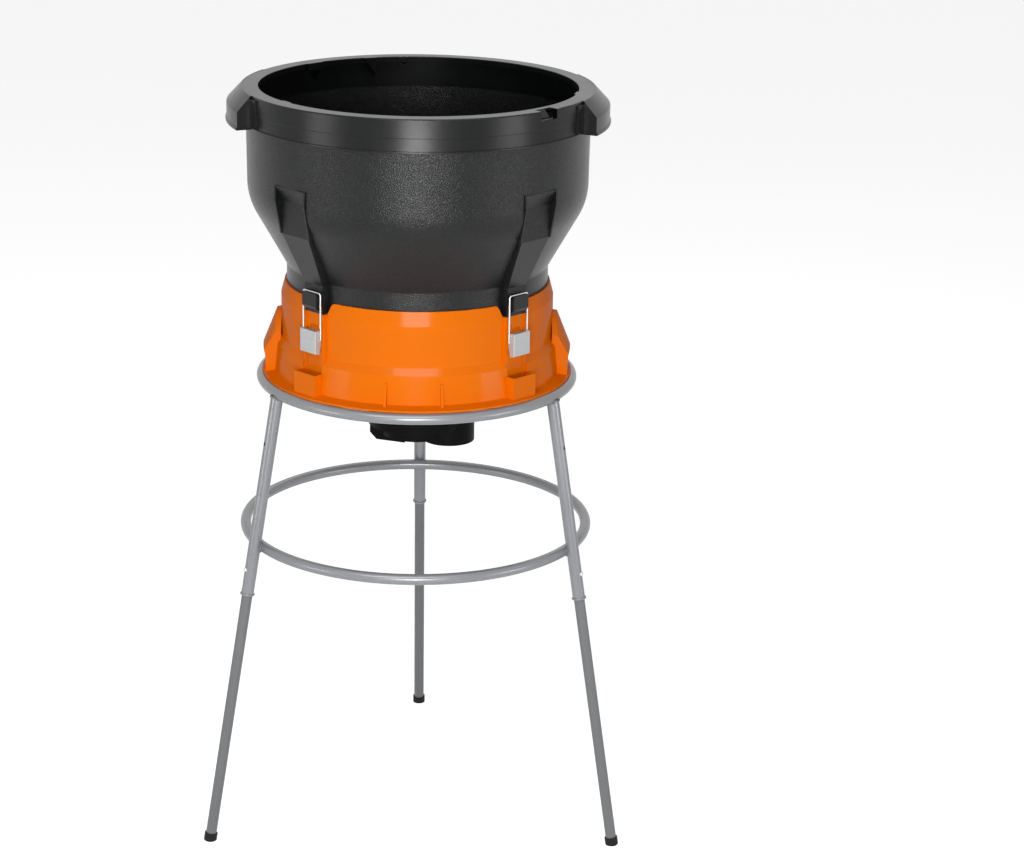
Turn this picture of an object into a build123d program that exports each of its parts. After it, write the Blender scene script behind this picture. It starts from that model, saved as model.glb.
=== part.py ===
from build123d import *

import os
from math import atan2, cos, degrees, hypot, radians, sin, tan

os.makedirs("parts", exist_ok=True)

# Directions around the upright axis, in degrees from +X. The front is at -90.
FRONT = -90
BACK = 90
LEGS = {"left": -150, "right": -30, "back": 90}
CORNERS = {"front_left": -135, "front_right": -45, "back_right": 45, "back_left": 135}
SIDES = (0, 180)

# Clearances between pieces
seat_gap = 0.2
fit_gap = 0.3
weld_gap = 0.15
running_gap = 0.05

# Stand: steel tube rings on three splayed legs that pull apart for storage
top_ring_radius = 273.0
top_ring_height = 815.0
hoop_radius = 305.0
hoop_height = 540.0
ring_tube_od = 19.0
ring_tube_wall = 1.2
foot_circle_radius = 415.0
upper_leg_od = 22.0
upper_leg_wall = 1.2
lower_leg_od = 19.0
lower_leg_wall = 1.2
upper_leg_end_height = 455.0
leg_overlap = 85.0
leg_bead_od = 26.0
leg_bead_height = 3.5
leg_bead_fillet = 1.4
leg_hole_height = 725.0
leg_hole_diameter = 6.0
button_height = 500.0
button_diameter = 8.0
button_reach = 3.0
button_flange_diameter = 10.4
button_flange_thickness = 1.2
button_flange_seat = 5.0
button_dome = 2.4
spring_width = 7.0
spring_thickness = 0.7
foot_od = 23.0
foot_height = 14.0
foot_socket_depth = 9.0
foot_fillet = 3.0

# Chamber housing: radius and height of each level of its wall
chamber_radius = 238.0
chamber_wall = 3.5
lip_top_radius = 231.5
lip_top_height = 989.0
lip_bottom_height = 965.0
ledge_top_height = 893.0
ledge_bottom_height = 881.0
skirt_top_radius = 247.0
skirt_bottom_radius = 252.0
skirt_bottom_height = 832.0
flange_radius = 272.0
flange_edge_height = 828.0
hopper_seat_height = 970.0
hopper_seat_radius = 224.5
hopper_seat_thickness = 5.0
hook_spread = 60
hook_width = 24.0
hook_thickness = 3.0
hook_barb = 4.5
hook_depth = 10.0

# Grip lobes on the two sides of the housing
lobe_half_width = 50.0
lobe_top_height = 934.0
lobe_end_top_height = 902.0
lobe_reach = 270.0
lobe_end_reach = 266.0
lobe_bulge_height = 872.0
lobe_neck_height = 856.0
lobe_wall = 3.0

# Latch pads, pockets and gussets on the housing
pad_face = 241.5
pad_rib_face = 243.2
pad_half_width = 26.5
pad_groove_half_width = 17.0
notch_half_width = 26.0
notch_flare = 6.5
notch_round = 8.0
pocket_face = 265.0
pocket_height = 867.0
pocket_floor_height = 830.0
pocket_floor = 4.0
pocket_wall = 3.0
gusset_spread = 10.75
gusset_thickness = 4.0
gusset_top_height = 868.5
gusset_reach = 262.0
stroke_count = 4
stroke_pitch = 5.2
stroke_length = 8.0
stroke_width = 1.8
stroke_depth = 2.0
stroke_slant = 35.0

# Draw latches: pivot, bail and lever, by radius from the upright axis and height
pivot_radius = 250.5
pivot_height = 938.0
pivot_pin_diameter = 3.2
bail_radius = 246.8
bail_pivot_height = 925.0
bail_bar_height = 1007.0
bail_wire = 2.8
bail_half_width = 21.5
bail_corner = 4.0
bail_end_corner = 2.0
lever_half_width = 19.5
lever_face = 257.0
lever_top_height = 942.0
lever_bottom_height = 902.0
lever_plate = 3.0
lever_cheek = 2.5
lever_floor = 2.5
lever_panel_inset = 5.0
lever_panel_depth = 0.8
lever_fillet = 1.4
plate_thickness = 1.5
plate_half_width = 13.0
plate_low_height = 898.0
plate_high_height = 940.0
ear_offset = 9.5
ear_radius = 3.2
ear_low_height = 908.0
ear_high_height = 931.0
rivet_diameter = 3.9
rivet_head_diameter = 7.0
rivet_head_height = 1.2
rivet_heights = (912.0, 928.0)

# Hopper: radius and height of each level
hopper_top_height = 1329.0
rim_radius = 302.0
mouth_radius = 274.5
rim_plate = 4.0
rim_bead_depth = 10.0
rim_bead_width = 3.0
band_step_radius = 303.0
band_step_height = 1297.0
band_low_radius = 301.5
band_lip_radius = 304.0
band_lip_height = 1276.0
band_bottom_height = 1273.0
body_top_radius = 296.0
body_corner_radius = 294.5
body_corner_height = 1138.0
body_bend = 105.0
throat_radius = 228.0
throat_top_height = 1020.5
throat_bend = 4.0
hopper_wall = 3.5

# Hand grips on the hopper's rim
grip_half_angle = 24.0
grip_reach = 328.5
grip_shoulder_height = 1303.0
grip_bottom_height = 1272.0
grip_bead = 2.0
grip_wall = 3.0
grip_root_radius = 306.0
grip_root_arc = 4.2
grip_root_top_height = 1324.0

# Ribs that run down the hopper to its four catches
rib_face = 283.0
rib_top_height = 1190.0
rib_face_top_height = 1165.0
rib_face_bottom_height = 1108.0
rib_foot_face = 242.5
rib_foot_top_height = 1020.0
rib_top_half_width = 35.0
rib_waist_half_width = 33.0
rib_foot_half_width = 22.0
catch_half_width = 17.0
catch_reach = 253.6
catch_lip_width = 2.4
catch_lip_height = 1.8
catch_play = 1.0
catch_low_height = 975.0

# Rim slot, hooks and boss
slot_bearing = -43.5
slot_half_width = 19.0
slot_height = 16.0
slot_root_radius = 285.0
slot_tab_half_width = 11.5
slot_tab_reach = 13.0
slot_tab_drop = 12.0
slot_tab_thickness = 3.0
wide_hook_bearing = 134.0
wide_hook_half_width = 17.0
wide_hook_drop = 13.0
deep_hook_bearing = 110.0
deep_hook_half_width = 12.5
deep_hook_drop = 28.0
deep_hook_tip = 4.0
low_hook_bearings = (-141.7, -11.3)
low_hook_half_width = 12.0
low_hook_drop = 19.0
rim_hook_reach = 3.0
rim_fin_drop = 40.0
rim_fin_thickness = 3.0
boss_bearing = 97.0
boss_radius = 10.0
boss_bore_radius = 7.5
boss_drop = 6.0
boss_reach = 3.0

# Motor bridge under the chamber
bridge_cup_radius = 88.0
bridge_cup_wall = 4.0
bridge_top_height = 846.0
bridge_plate = 6.0
bridge_split_height = 790.0
arm_count = 4
arm_width = 10.0
arm_top_height = 838.0
arm_bottom_height = 816.0
arm_end_radius = 235.0
arm_foot_half_width = 14.0
arm_foot_length = 20.0
arm_foot_thickness = 6.0
foot_screw_offset = 9.5
boss_height = 20.0
boss_slope = 12.0
neck_radius = 24.0
neck_bore = 12.0
neck_top_height = 878.0
stator_sleeve_wall = 3.5
sleeve_shoulder = 2.5
window_count = 6
window_width = 26.0
window_margin = 3.0

# Motor
shaft_radius = 7.5
shaft_tail_radius = 5.0
shaft_nose_radius = 6.0
shaft_bottom_height = 709.0
shaft_top_height = 938.0
shaft_chamfer = 1.5
upper_bearing_od = 35.0
upper_bearing_width = 11.0
upper_bearing_height = 864.0
lower_bearing_od = 26.0
lower_bearing_width = 8.0
race_groove = 0.6
core_height = 50.0
core_low_height = 742.0
armature_radius = 28.0
air_gap = 0.6
stator_radius = 48.0
yoke_width = 7.0
pole_width = 24.0
pole_shoe = 5.0
pole_half_angle = 50.0
armature_slots = 12
slot_root = 15.5
slot_depth = 10.5
slot_width = 5.0
slot_mouth = 2.4
commutator_radius = 14.0
commutator_low_height = 721.0
commutator_length = 13.0
commutator_bars = 24
commutator_groove = 0.6
winding_rise = 6.0
winding_gap = 0.3
brush_width = 6.0
brush_height = 9.0
brush_length = 20.0
brush_gap = 0.15
brush_spring_radius = 2.6
brush_spring_wall = 0.6
holder_middle = 33.0
holder_length = 30.0
holder_wall = 1.6
fan_radius = 44.0
fan_low_height = 804.0
fan_height = 12.0
fan_disc = 2.0
fan_hub_radius = 13.0
fan_blades = 9
fan_blade_angle = 25.0

# Under cover of the motor
cover_radius = 86.0
cover_step_height = 725.0
cover_cup_radius = 62.0
cover_bottom_height = 705.0
cover_wall = 3.0
spur_length = 83.0
spur_bottom_height = 692.0
spur_back = 45.0
spur_front = 26.0
spur_nose_front = 2.0
spur_root = 20.0
spur_chamfer = 12.0
turret_radius = 46.0
turret_centre = (57.0, -5.0)
turret_bottom_height = 695.0
bulge_top_height = 740.0
cover_screw_circle = 79.0
cover_screw_land = 6.0
cover_post_radius = 6.0

# Cutting head
head_height = 904.0
head_radius = 110.0
disc_thickness = 8.0
hub_radius = 26.0
hub_bottom_height = 882.0
cap_radius = 100.0
cap_rise = 16.0
cap_flat_radius = 34.0
cap_wall = 3.0
line_count = 12
line_diameter = 2.4
line_start = 42.0
line_reach = 226.0
line_gap = 0.15
nut_flats = 19.0
nut_height = 10.0
washer_radius = 16.0
washer_thickness = 2.0

# Screws
screw_radius = 2.0
screw_head_radius = 4.0
screw_head_height = 2.6
screw_length = 16.0

# Switch box on the back of the housing
box_width = 98.0
box_low_height = 848.0
box_high_height = 930.0
box_face = 284.0
box_wall = 2.5
box_depth = 56.0
box_fillet = 5.0
box_post_radius = 6.5
box_post_inset = 11.0
box_screw_land = 6.0
box_screw_grip = 3.2
rocker_width = 14.0
rocker_height = 24.0
rocker_x = -28.0
rocker_z = 893.0
rocker_depth = 9.0
rocker_play = 1.0
rocker_side_play = 0.4
rocker_bulge = 2.2
rocker_pivot_inset = 3.0
rocker_tilt = 8.0
rocker_pin = 1.2
rocker_pin_grip = 1.6
module_width = 19.0
module_height = 30.0
switch_depth = 20.0
bezel = 2.0
bezel_height = 1.2
inlet_x = 22.0
inlet_z = 884.0
inlet_width = 38.0
inlet_height = 30.0
inlet_depth = 24.0
inlet_wall = 2.0
blade_width = 6.4
blade_thickness = 1.5
blade_spacing = 12.7
blade_length = 17.0
blade_rise = 4.0
ground_pin_diameter = 4.8
ground_pin_drop = 11.0
reset_x = 22.0
reset_z = 914.0
reset_diameter = 9.0
reset_reach = 3.0
reset_travel = 2.0
reset_flange_diameter = 13.0
reset_flange_thickness = 1.5
reset_fillet = 1.2
breaker_depth = 20.0
breaker_size = 18.0


def save(solid, name):
    """Label a finished piece and write it to its own file."""
    solid.label = name
    export_step(solid, f"parts/{name}.step")


def radial_plane(angle):
    """Upright plane through the axis: its x points outwards at the angle, its y up."""
    out = Vector(cos(radians(angle)), sin(radians(angle)), 0)
    return Plane(origin=(0, 0, 0), x_dir=out, z_dir=(out.Y, -out.X, 0))


def face_plane(angle, radius, height=0.0):
    """Upright plane square to a radius: its x runs sideways, its y up, its z outwards."""
    out = Vector(cos(radians(angle)), sin(radians(angle)), 0)
    return Plane(origin=(out.X * radius, out.Y * radius, height), x_dir=(-out.Y, out.X, 0), z_dir=out)


def upright(points, angle=0.0, radii=0.0):
    """Face in the radial plane at an angle, from (radius, height) points."""
    with BuildSketch(radial_plane(angle)) as section:
        with BuildLine():
            FilletPolyline(*points, radius=radii, close=True)
        make_face()
    return section.sketch


def facing(points, plane):
    """Face in a plane, from its local points."""
    with BuildSketch(plane) as section:
        with BuildLine():
            Polyline(*points, close=True)
        make_face()
    return section.sketch


# A leg's plane has its origin on the ring's centreline, its z down along the leg and its
# x outwards. Legs are drawn at angle 0 and turned to their bearing.
leg_run = foot_circle_radius - top_ring_radius
leg_length = hypot(leg_run, top_ring_height)
splay = atan2(leg_run, top_ring_height)


def leg_frame(angle):
    """Plane of the leg at an angle around the upright axis."""
    out = Vector(cos(radians(angle)), sin(radians(angle)), 0)
    up = Vector(0, 0, 1)
    return Plane(
        origin=out * top_ring_radius + up * top_ring_height,
        x_dir=out * cos(splay) + up * sin(splay),
        z_dir=out * sin(splay) - up * cos(splay),
    )


def down_leg(height):
    """Distance along a leg from the top ring's centre to a height above the floor."""
    return (top_ring_height - height) / cos(splay)


leg_plane = leg_frame(0)
leg_end = down_leg(upper_leg_end_height)
button_place = down_leg(button_height)
foot_start = leg_length - foot_height
upper_bore = upper_leg_od / 2 - upper_leg_wall
lower_bore = lower_leg_od / 2 - lower_leg_wall

# Top ring, a closed loop of tube
with BuildPart() as top_ring:
    with BuildSketch(Plane.XZ):
        with Locations((top_ring_radius, top_ring_height)):
            Circle(ring_tube_od / 2)
            Circle(ring_tube_od / 2 - ring_tube_wall, mode=Mode.SUBTRACT)
    revolve(axis=Axis.Z)
save(top_ring.part, "top_ring")

# Lower hoop, coped where it is welded against the inner side of each leg
with BuildPart() as lower_hoop:
    with BuildSketch(Plane.XZ):
        with Locations((hoop_radius, hoop_height)):
            Circle(ring_tube_od / 2)
            Circle(ring_tube_od / 2 - ring_tube_wall, mode=Mode.SUBTRACT)
    revolve(axis=Axis.Z)
    for angle in LEGS.values():
        with BuildSketch(leg_frame(angle)):
            Circle(upper_leg_od / 2 + weld_gap)
        extrude(amount=leg_length, mode=Mode.SUBTRACT)
save(lower_hoop.part, "lower_hoop")

# Upper leg: coped under the ring, with a swaged bead at its open end
with BuildPart() as upper_leg:
    with BuildSketch(leg_plane.offset(ring_tube_od / 4)):
        Circle(upper_leg_od / 2)
    extrude(amount=leg_end - ring_tube_od / 4)
    with BuildSketch(leg_plane.offset(leg_end - leg_bead_height)):
        Circle(leg_bead_od / 2)
    extrude(amount=leg_bead_height)
    round_edges = edges().filter_by(GeomType.CIRCLE)
    bead_edges = round_edges.filter_by(lambda edge: edge.radius > upper_leg_od / 2 + 0.5)
    fillet(bead_edges, leg_bead_fillet)
    with BuildSketch(leg_plane):
        Circle(upper_bore)
    extrude(amount=leg_end + leg_bead_height, mode=Mode.SUBTRACT)
    with BuildSketch(Plane.XZ):
        with Locations((top_ring_radius, top_ring_height)):
            Circle(ring_tube_od / 2 + weld_gap)
    revolve(axis=Axis.Z, mode=Mode.SUBTRACT)
    button_hole = button_diameter + fit_gap
    for place, diameter in ((button_place, button_hole), (down_leg(leg_hole_height), leg_hole_diameter)):
        hole_centre = leg_plane.from_local_coords((0, 0, place))
        with BuildSketch(Plane(origin=hole_centre, x_dir=leg_plane.z_dir, z_dir=leg_plane.x_dir)):
            Circle(diameter / 2)
        extrude(amount=upper_leg_od, mode=Mode.SUBTRACT)

# Lower leg: slides into the upper leg and carries the snap button
with BuildPart() as lower_leg:
    with BuildSketch(leg_plane.offset(leg_end - leg_overlap)):
        Circle(lower_leg_od / 2)
        Circle(lower_bore, mode=Mode.SUBTRACT)
    extrude(amount=foot_start + foot_socket_depth - leg_end + leg_overlap)
    hole_centre = leg_plane.from_local_coords((0, 0, button_place))
    button_plane = Plane(origin=hole_centre, x_dir=leg_plane.z_dir, z_dir=leg_plane.x_dir)
    with BuildSketch(button_plane):
        Circle((button_diameter + fit_gap) / 2)
    extrude(amount=lower_leg_od, mode=Mode.SUBTRACT)

# Rubber foot, cut level where it stands on the floor
with BuildPart() as foot:
    with BuildSketch(leg_plane.offset(foot_start)):
        Circle(foot_od / 2)
    extrude(amount=foot_height + foot_od / 2 * tan(splay))
    fillet(edges().sort_by(Axis.Z)[0], foot_fillet)
    with BuildSketch(leg_plane.offset(foot_start)):
        Circle(lower_leg_od / 2 + weld_gap)
    extrude(amount=foot_socket_depth + weld_gap, mode=Mode.SUBTRACT)
    split(bisect_by=Plane.XY, keep=Keep.TOP)

# Snap button: a domed pin with a flange inside the lower leg
with BuildPart() as snap_button:
    with BuildSketch(button_plane.offset(button_flange_seat)):
        Circle(button_flange_diameter / 2)
    extrude(amount=button_flange_thickness)
    with BuildSketch(button_plane.offset(button_flange_seat)):
        Circle(button_diameter / 2)
    extrude(amount=upper_leg_od / 2 + button_reach - button_flange_seat)
    fillet(faces().sort_by(Axis.X)[-1].edges(), button_dome)

# Leaf spring folded behind the button
with BuildPart() as snap_spring:
    with BuildLine(Plane(origin=hole_centre, x_dir=leg_plane.x_dir, z_dir=(0, 1, 0))) as leaf:
        back_of_button = button_flange_seat - spring_thickness / 2 - fit_gap
        far_wall = -(lower_bore**2 - spring_width**2 / 4) ** 0.5 + spring_thickness / 2 + fit_gap
        FilletPolyline(
            (back_of_button, 9),
            (back_of_button, -9),
            (-1.5, -46),
            (far_wall, -18),
            (far_wall, 12),
            radius=(8, 2.5, 20),
        )
    with BuildSketch(Plane(origin=leaf.line @ 0, x_dir=(0, 1, 0), z_dir=leaf.line % 0)):
        Rectangle(spring_width, spring_thickness)
    sweep()

for name, angle in LEGS.items():
    save(upper_leg.part.rotate(Axis.Z, angle), f"upper_leg_{name}")
    save(lower_leg.part.rotate(Axis.Z, angle), f"lower_leg_{name}")
    save(foot.part.rotate(Axis.Z, angle), f"foot_{name}")
    save(snap_button.part.rotate(Axis.Z, angle), f"snap_button_{name}")
    save(snap_spring.part.rotate(Axis.Z, angle), f"snap_spring_{name}")


# Chamber housing wall: outside from the lip down to the flange, then the inside back up
housing_outside = [
    (lip_top_radius, lip_top_height),
    (chamber_radius, lip_bottom_height),
    (chamber_radius, ledge_top_height),
    (skirt_top_radius, ledge_bottom_height),
    (skirt_bottom_radius, skirt_bottom_height),
    (flange_radius, flange_edge_height),
]
flange_under = top_ring_height + ring_tube_od / 2 + fit_gap
collar_bore = throat_radius + fit_gap
housing_inside = [
    (flange_radius, flange_under),
    (skirt_bottom_radius - chamber_wall, flange_under),
    (skirt_bottom_radius - chamber_wall, skirt_bottom_height),
    (skirt_top_radius - chamber_wall, ledge_bottom_height),
    (chamber_radius - chamber_wall, ledge_top_height),
    (chamber_radius - chamber_wall, hopper_seat_height - hopper_seat_thickness - 6),
    (hopper_seat_radius, hopper_seat_height - hopper_seat_thickness),
    (hopper_seat_radius, hopper_seat_height),
    (collar_bore, hopper_seat_height),
    (collar_bore, lip_top_height),
]


def lobe_section(reach, top, bulge, neck, inset, place):
    """Cross-section of a grip lobe, drawn across the Y axis at a place along it."""
    slope_start = chamber_radius + 8 - inset
    outline = [
        (chamber_radius - chamber_wall / 2 + inset * 2, top - inset),
        (slope_start, top - 2 - inset),
        (reach - inset, bulge - inset),
        (reach - 3 - inset, neck),
        (reach - 2 - inset, flange_edge_height - inset),
        (chamber_radius - chamber_wall / 2 + inset * 2, flange_edge_height - inset),
    ]
    return facing(outline, Plane(origin=(0, place, 0), x_dir=(1, 0, 0), z_dir=(0, -1, 0)))


def lobe(inset):
    """Solid lobe on the +X side, smaller by the inset all round."""
    end = lobe_half_width - inset
    lower = lobe_end_reach, lobe_end_top_height, lobe_bulge_height - 6, lobe_neck_height - 4
    middle = lobe_reach, lobe_top_height, lobe_bulge_height, lobe_neck_height
    sections = [
        lobe_section(*lower, inset, -end),
        lobe_section(*middle, inset, 0),
        lobe_section(*lower, inset, end),
    ]
    return loft(sections, mode=Mode.PRIVATE)


# Notch in the lip, as seen from outside: it flares upwards to shoulders just above the lip
notch_wide = notch_half_width + notch_flare
notch_shoulder = notch_wide + 2 * notch_round
notch_high = lip_top_height + fit_gap
notch_root = hopper_seat_radius - chamber_wall
notch_outline = [
    (-notch_half_width, hopper_seat_height),
    (notch_half_width, hopper_seat_height),
    (notch_wide, notch_high),
    (notch_shoulder, notch_high),
    (notch_shoulder, notch_high + notch_round),
    (-notch_shoulder, notch_high + notch_round),
    (-notch_shoulder, notch_high),
    (-notch_wide, notch_high),
]


box_middle = (box_low_height + box_high_height) / 2
box_height = box_high_height - box_low_height
inner_face = box_face - box_wall


def wall_radius(height):
    """Outer radius of the housing's wall between the lip's foot and the flange."""
    levels = housing_outside[1:5]
    for (upper_radius, upper), (lower_radius, lower) in zip(levels, levels[1:]):
        if lower <= height <= upper:
            share = (height - lower) / (upper - lower)
            return lower_radius + (upper_radius - lower_radius) * share


box_screws_at = [
    (side * (box_width / 2 - box_post_inset), box_middle + level * (box_height / 2 - box_post_inset))
    for side in (-1, 1)
    for level in (-1, 1)
]


def post_foot(x, height):
    """How far back the housing's wall stands behind a screw of the box."""
    return (wall_radius(height) ** 2 - x**2) ** 0.5


def back_plane(distance):
    """Upright plane behind the housing: its x runs to -X, its y up, its z backwards."""
    return Plane(origin=(0, distance, 0), x_dir=(-1, 0, 0), z_dir=(0, 1, 0))


arm_bearings = [360 / arm_count * (turn + 0.5) for turn in range(arm_count)]

with BuildPart() as base_housing:
    revolve(upright(housing_outside + housing_inside), axis=Axis.Z)
    # Notches in the lip for the hopper's four feet
    for angle in CORNERS.values():
        with BuildSketch(face_plane(angle, notch_root)) as notch:
            with BuildLine():
                Polyline(*notch_outline, close=True)
            make_face()
            corners = [point for point in notch.vertices() if abs(abs(point.X) - notch_wide) < fit_gap]
            fillet(corners, notch_round)
        extrude(amount=chamber_radius - notch_root, mode=Mode.SUBTRACT)
    # Grip lobes, hollow from below
    lobe_skin = lobe(0)
    for side in SIDES:
        add(lobe_skin.rotate(Axis.Z, side))
    # Latch pads with a groove down the middle, which runs on through the ledge into a pocket
    wall_middle = chamber_radius - chamber_wall / 2
    pad_low = pocket_floor_height - pocket_floor
    pad_back = skirt_top_radius - chamber_wall + fit_gap * 3
    pocket_root = skirt_top_radius - chamber_wall
    pocket_front = pocket_face - pocket_wall
    pad = [
        (wall_middle, pad_low),
        (pad_back, pad_low),
        (pad_back, ledge_bottom_height),
        (pad_rib_face, ledge_bottom_height),
        (pad_rib_face, hopper_seat_height),
        (wall_middle, hopper_seat_height),
    ]
    pocket = [
        (pocket_root, pad_low),
        (pocket_face, pad_low),
        (pocket_face, pocket_height),
        (pocket_root, pocket_height),
    ]
    channel = [
        (pad_rib_face, pocket_floor_height),
        (pocket_front, pocket_floor_height),
        (pocket_front, ledge_top_height),
        (pad_rib_face, ledge_top_height),
    ]
    groove = [
        (pad_face, pocket_floor_height),
        (pocket_front, pocket_floor_height),
        (pocket_front, hopper_seat_height + 1),
        (pad_face, hopper_seat_height + 1),
    ]
    for name, angle in CORNERS.items():
        extrude(upright(pad, angle), amount=pad_half_width, both=True)
        extrude(upright(pocket, angle), amount=pad_half_width, both=True)
        channel_half_width = pad_half_width - pocket_wall
        extrude(upright(channel, angle), amount=channel_half_width, both=True, mode=Mode.SUBTRACT)
        extrude(upright(groove, angle), amount=pad_groove_half_width, both=True, mode=Mode.SUBTRACT)
        # Slanting strokes sunk in the groove's floor above the lever
        lean = stroke_slant if name in ("front_right", "back_left") else -stroke_slant
        for stroke in range(stroke_count):
            across = (stroke - (stroke_count - 1) / 2) * stroke_pitch
            with BuildSketch(face_plane(angle, pad_face, lever_top_height + stroke_length / 2)):
                with Locations(Location((across, 0), lean)):
                    Rectangle(stroke_width, stroke_length)
            extrude(amount=-stroke_depth, mode=Mode.SUBTRACT)
        for height in rivet_heights:
            with BuildSketch(face_plane(angle, pad_face, height)):
                Circle(rivet_diameter / 2 + running_gap)
            extrude(amount=-chamber_wall * 3, mode=Mode.SUBTRACT)
    # Upright gussets on the skirt at the front
    gusset = [
        (skirt_top_radius, flange_edge_height - 1),
        (gusset_reach, flange_edge_height - 1),
        (skirt_bottom_radius, gusset_top_height),
        (skirt_top_radius, gusset_top_height),
    ]
    for spread in (-gusset_spread, gusset_spread):
        extrude(upright(gusset, FRONT + spread), amount=gusset_thickness / 2, both=True)
    # Holes for the switch box's screws
    for x, height in box_screws_at:
        with BuildSketch(back_plane(post_foot(x, height) + chamber_wall)):
            with Locations((-x, height)):
                Circle(screw_radius + running_gap)
        extrude(amount=-3 * chamber_wall, mode=Mode.SUBTRACT)
    # Bosses inside the skirt for the motor bridge
    boss_low = arm_top_height
    for angle in arm_bearings:
        boss = [
            (arm_end_radius - arm_foot_length, boss_low),
            (chamber_radius, boss_low),
            (chamber_radius, boss_low + boss_height + boss_slope),
            (arm_end_radius - arm_foot_length, boss_low + boss_height),
        ]
        extrude(upright(boss, angle), amount=arm_foot_half_width, both=True)
        for across in (-foot_screw_offset, foot_screw_offset):
            with BuildSketch(Plane.XY.offset(boss_low)):
                with Locations(Location((0, 0), angle)):
                    with Locations((arm_end_radius - arm_foot_length / 2, across)):
                        Circle(screw_radius)
            extrude(amount=screw_length, mode=Mode.SUBTRACT)
    # Snap hooks under the flange that grip the inner side of the top ring
    tongue_out = top_ring_radius - ring_tube_od / 2 - fit_gap
    tongue_in = tongue_out - hook_thickness
    barb_low = top_ring_height - hook_depth
    tongue = [
        (tongue_in, flange_under + 1),
        (tongue_in, barb_low),
        (tongue_out + hook_barb, barb_low),
        (tongue_out + hook_barb, barb_low + 1.5),
        (tongue_out, barb_low + 5),
        (tongue_out, flange_under + 1),
    ]
    for step in range(360 // hook_spread):
        bearing = BACK + hook_spread * (step + 0.5)
        extrude(upright(tongue, bearing), amount=hook_width / 2, both=True)
    lobe_hollow = lobe(lobe_wall)
    for side in SIDES:
        add(lobe_hollow.rotate(Axis.Z, side), mode=Mode.SUBTRACT)

# Catches, ribs and the hopper itself
catch_top = bail_bar_height - bail_wire / 2 - catch_play
cone_slope = (body_corner_height - throat_top_height) / (body_corner_radius - throat_radius)
cone_meets_rib = throat_top_height + (rib_face - throat_radius) * cone_slope
rib_outline = [
    (throat_radius - hopper_wall / 2, hopper_seat_height + seat_gap),
    (rib_foot_face, hopper_seat_height + seat_gap),
    (rib_foot_face, rib_foot_top_height),
    (rib_face, rib_face_bottom_height),
    (rib_face, cone_meets_rib + hopper_wall / 2),
    (throat_radius - hopper_wall / 2, throat_top_height + hopper_wall / 2),
]


def rib_front(extra):
    """Front view of a rib, tapering from the hopper's wall down to the catch."""
    return [
        (-rib_foot_half_width - extra, hopper_seat_height),
        (rib_foot_half_width + extra, hopper_seat_height),
        (rib_foot_half_width + extra, rib_foot_top_height),
        (rib_waist_half_width + extra, rib_face_bottom_height),
        (rib_top_half_width + extra, rib_top_height + 1),
        (-rib_top_half_width - extra, rib_top_height + 1),
        (-rib_waist_half_width - extra, rib_face_bottom_height),
        (-rib_foot_half_width - extra, rib_foot_top_height),
    ]


def rib_block(outline, extra=0.0):
    """Solid under a rib's outline, trimmed to the rib's front view, at angle 0."""
    across = extrude(upright(outline), amount=rib_top_half_width + extra, both=True, mode=Mode.PRIVATE)
    view = face_plane(0, throat_radius - hopper_wall * 4)
    along = extrude(facing(rib_front(extra), view), amount=body_top_radius, mode=Mode.PRIVATE)
    return across & along


# Outer outline of the hopper, from the mouth's inner edge round to the throat's foot
hopper_outside = [
    (mouth_radius, hopper_top_height - rim_bead_depth),
    (mouth_radius, hopper_top_height),
    (rim_radius, hopper_top_height),
    (band_step_radius, band_step_height),
    (band_low_radius, band_step_height),
    (band_low_radius + 0.8, band_lip_height),
    (band_lip_radius, band_lip_height),
    (band_lip_radius, band_bottom_height),
    (body_top_radius, band_bottom_height),
    (body_corner_radius, body_corner_height),
    (throat_radius, throat_top_height),
    (throat_radius, hopper_seat_height + seat_gap),
]
cone_angle = atan2(body_corner_radius - throat_radius, body_corner_height - throat_top_height)
wall_shift = hopper_wall * tan(cone_angle / 2)
hopper_inside = [
    (throat_radius - hopper_wall, hopper_seat_height + seat_gap),
    (throat_radius - hopper_wall, throat_top_height + wall_shift),
    (body_corner_radius - hopper_wall, body_corner_height + wall_shift),
    (body_top_radius - hopper_wall, hopper_top_height - rim_plate),
    (mouth_radius + rim_bead_width, hopper_top_height - rim_plate),
    (mouth_radius + rim_bead_width, hopper_top_height - rim_bead_depth),
]
outside_bends = [0, 1, 2, 1, 0, 0, 0.5, 0.5, 0, body_bend, throat_bend, 0]
inside_bends = [0, throat_bend, body_bend - hopper_wall, 2, 0, 0]

grip_profile = [
    (rim_radius - 1, hopper_top_height),
    (rim_radius + 2, hopper_top_height),
    (grip_reach, grip_shoulder_height),
    (grip_reach, grip_bottom_height + grip_bead * 3),
    (grip_reach + grip_bead, grip_bottom_height + grip_bead * 2),
    (grip_reach + grip_bead, grip_bottom_height),
    (rim_radius - 1, grip_bottom_height),
]
grip_bends = [0, 2, 3, 1, 1, 1, 0]
grip_hollow = [
    (band_lip_radius, grip_bottom_height - 1),
    (band_lip_radius, hopper_top_height - grip_wall * 2),
    (grip_reach - grip_wall, grip_shoulder_height - grip_wall / 2),
    (grip_reach - grip_wall, grip_bottom_height - 1),
]

low_tab = [
    (-low_hook_half_width, 0),
    (-low_hook_half_width, -low_hook_drop),
    (low_hook_half_width, -low_hook_drop),
    (low_hook_half_width, 0),
]
wide_tab = [
    (-wide_hook_half_width, 0),
    (-wide_hook_half_width, -wide_hook_drop),
    (wide_hook_half_width, -wide_hook_drop),
    (wide_hook_half_width, 0),
]
deep_tab = [
    (-deep_hook_half_width, 0),
    (-deep_hook_half_width, -deep_hook_drop),
    (-deep_hook_half_width + deep_hook_tip, -deep_hook_drop),
    (deep_hook_half_width, 0),
]
grip_root = [
    (band_low_radius - 1, band_lip_height),
    (grip_root_radius, band_lip_height),
    (grip_root_radius, grip_root_top_height),
    (band_low_radius - 1, grip_root_top_height),
]

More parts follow.
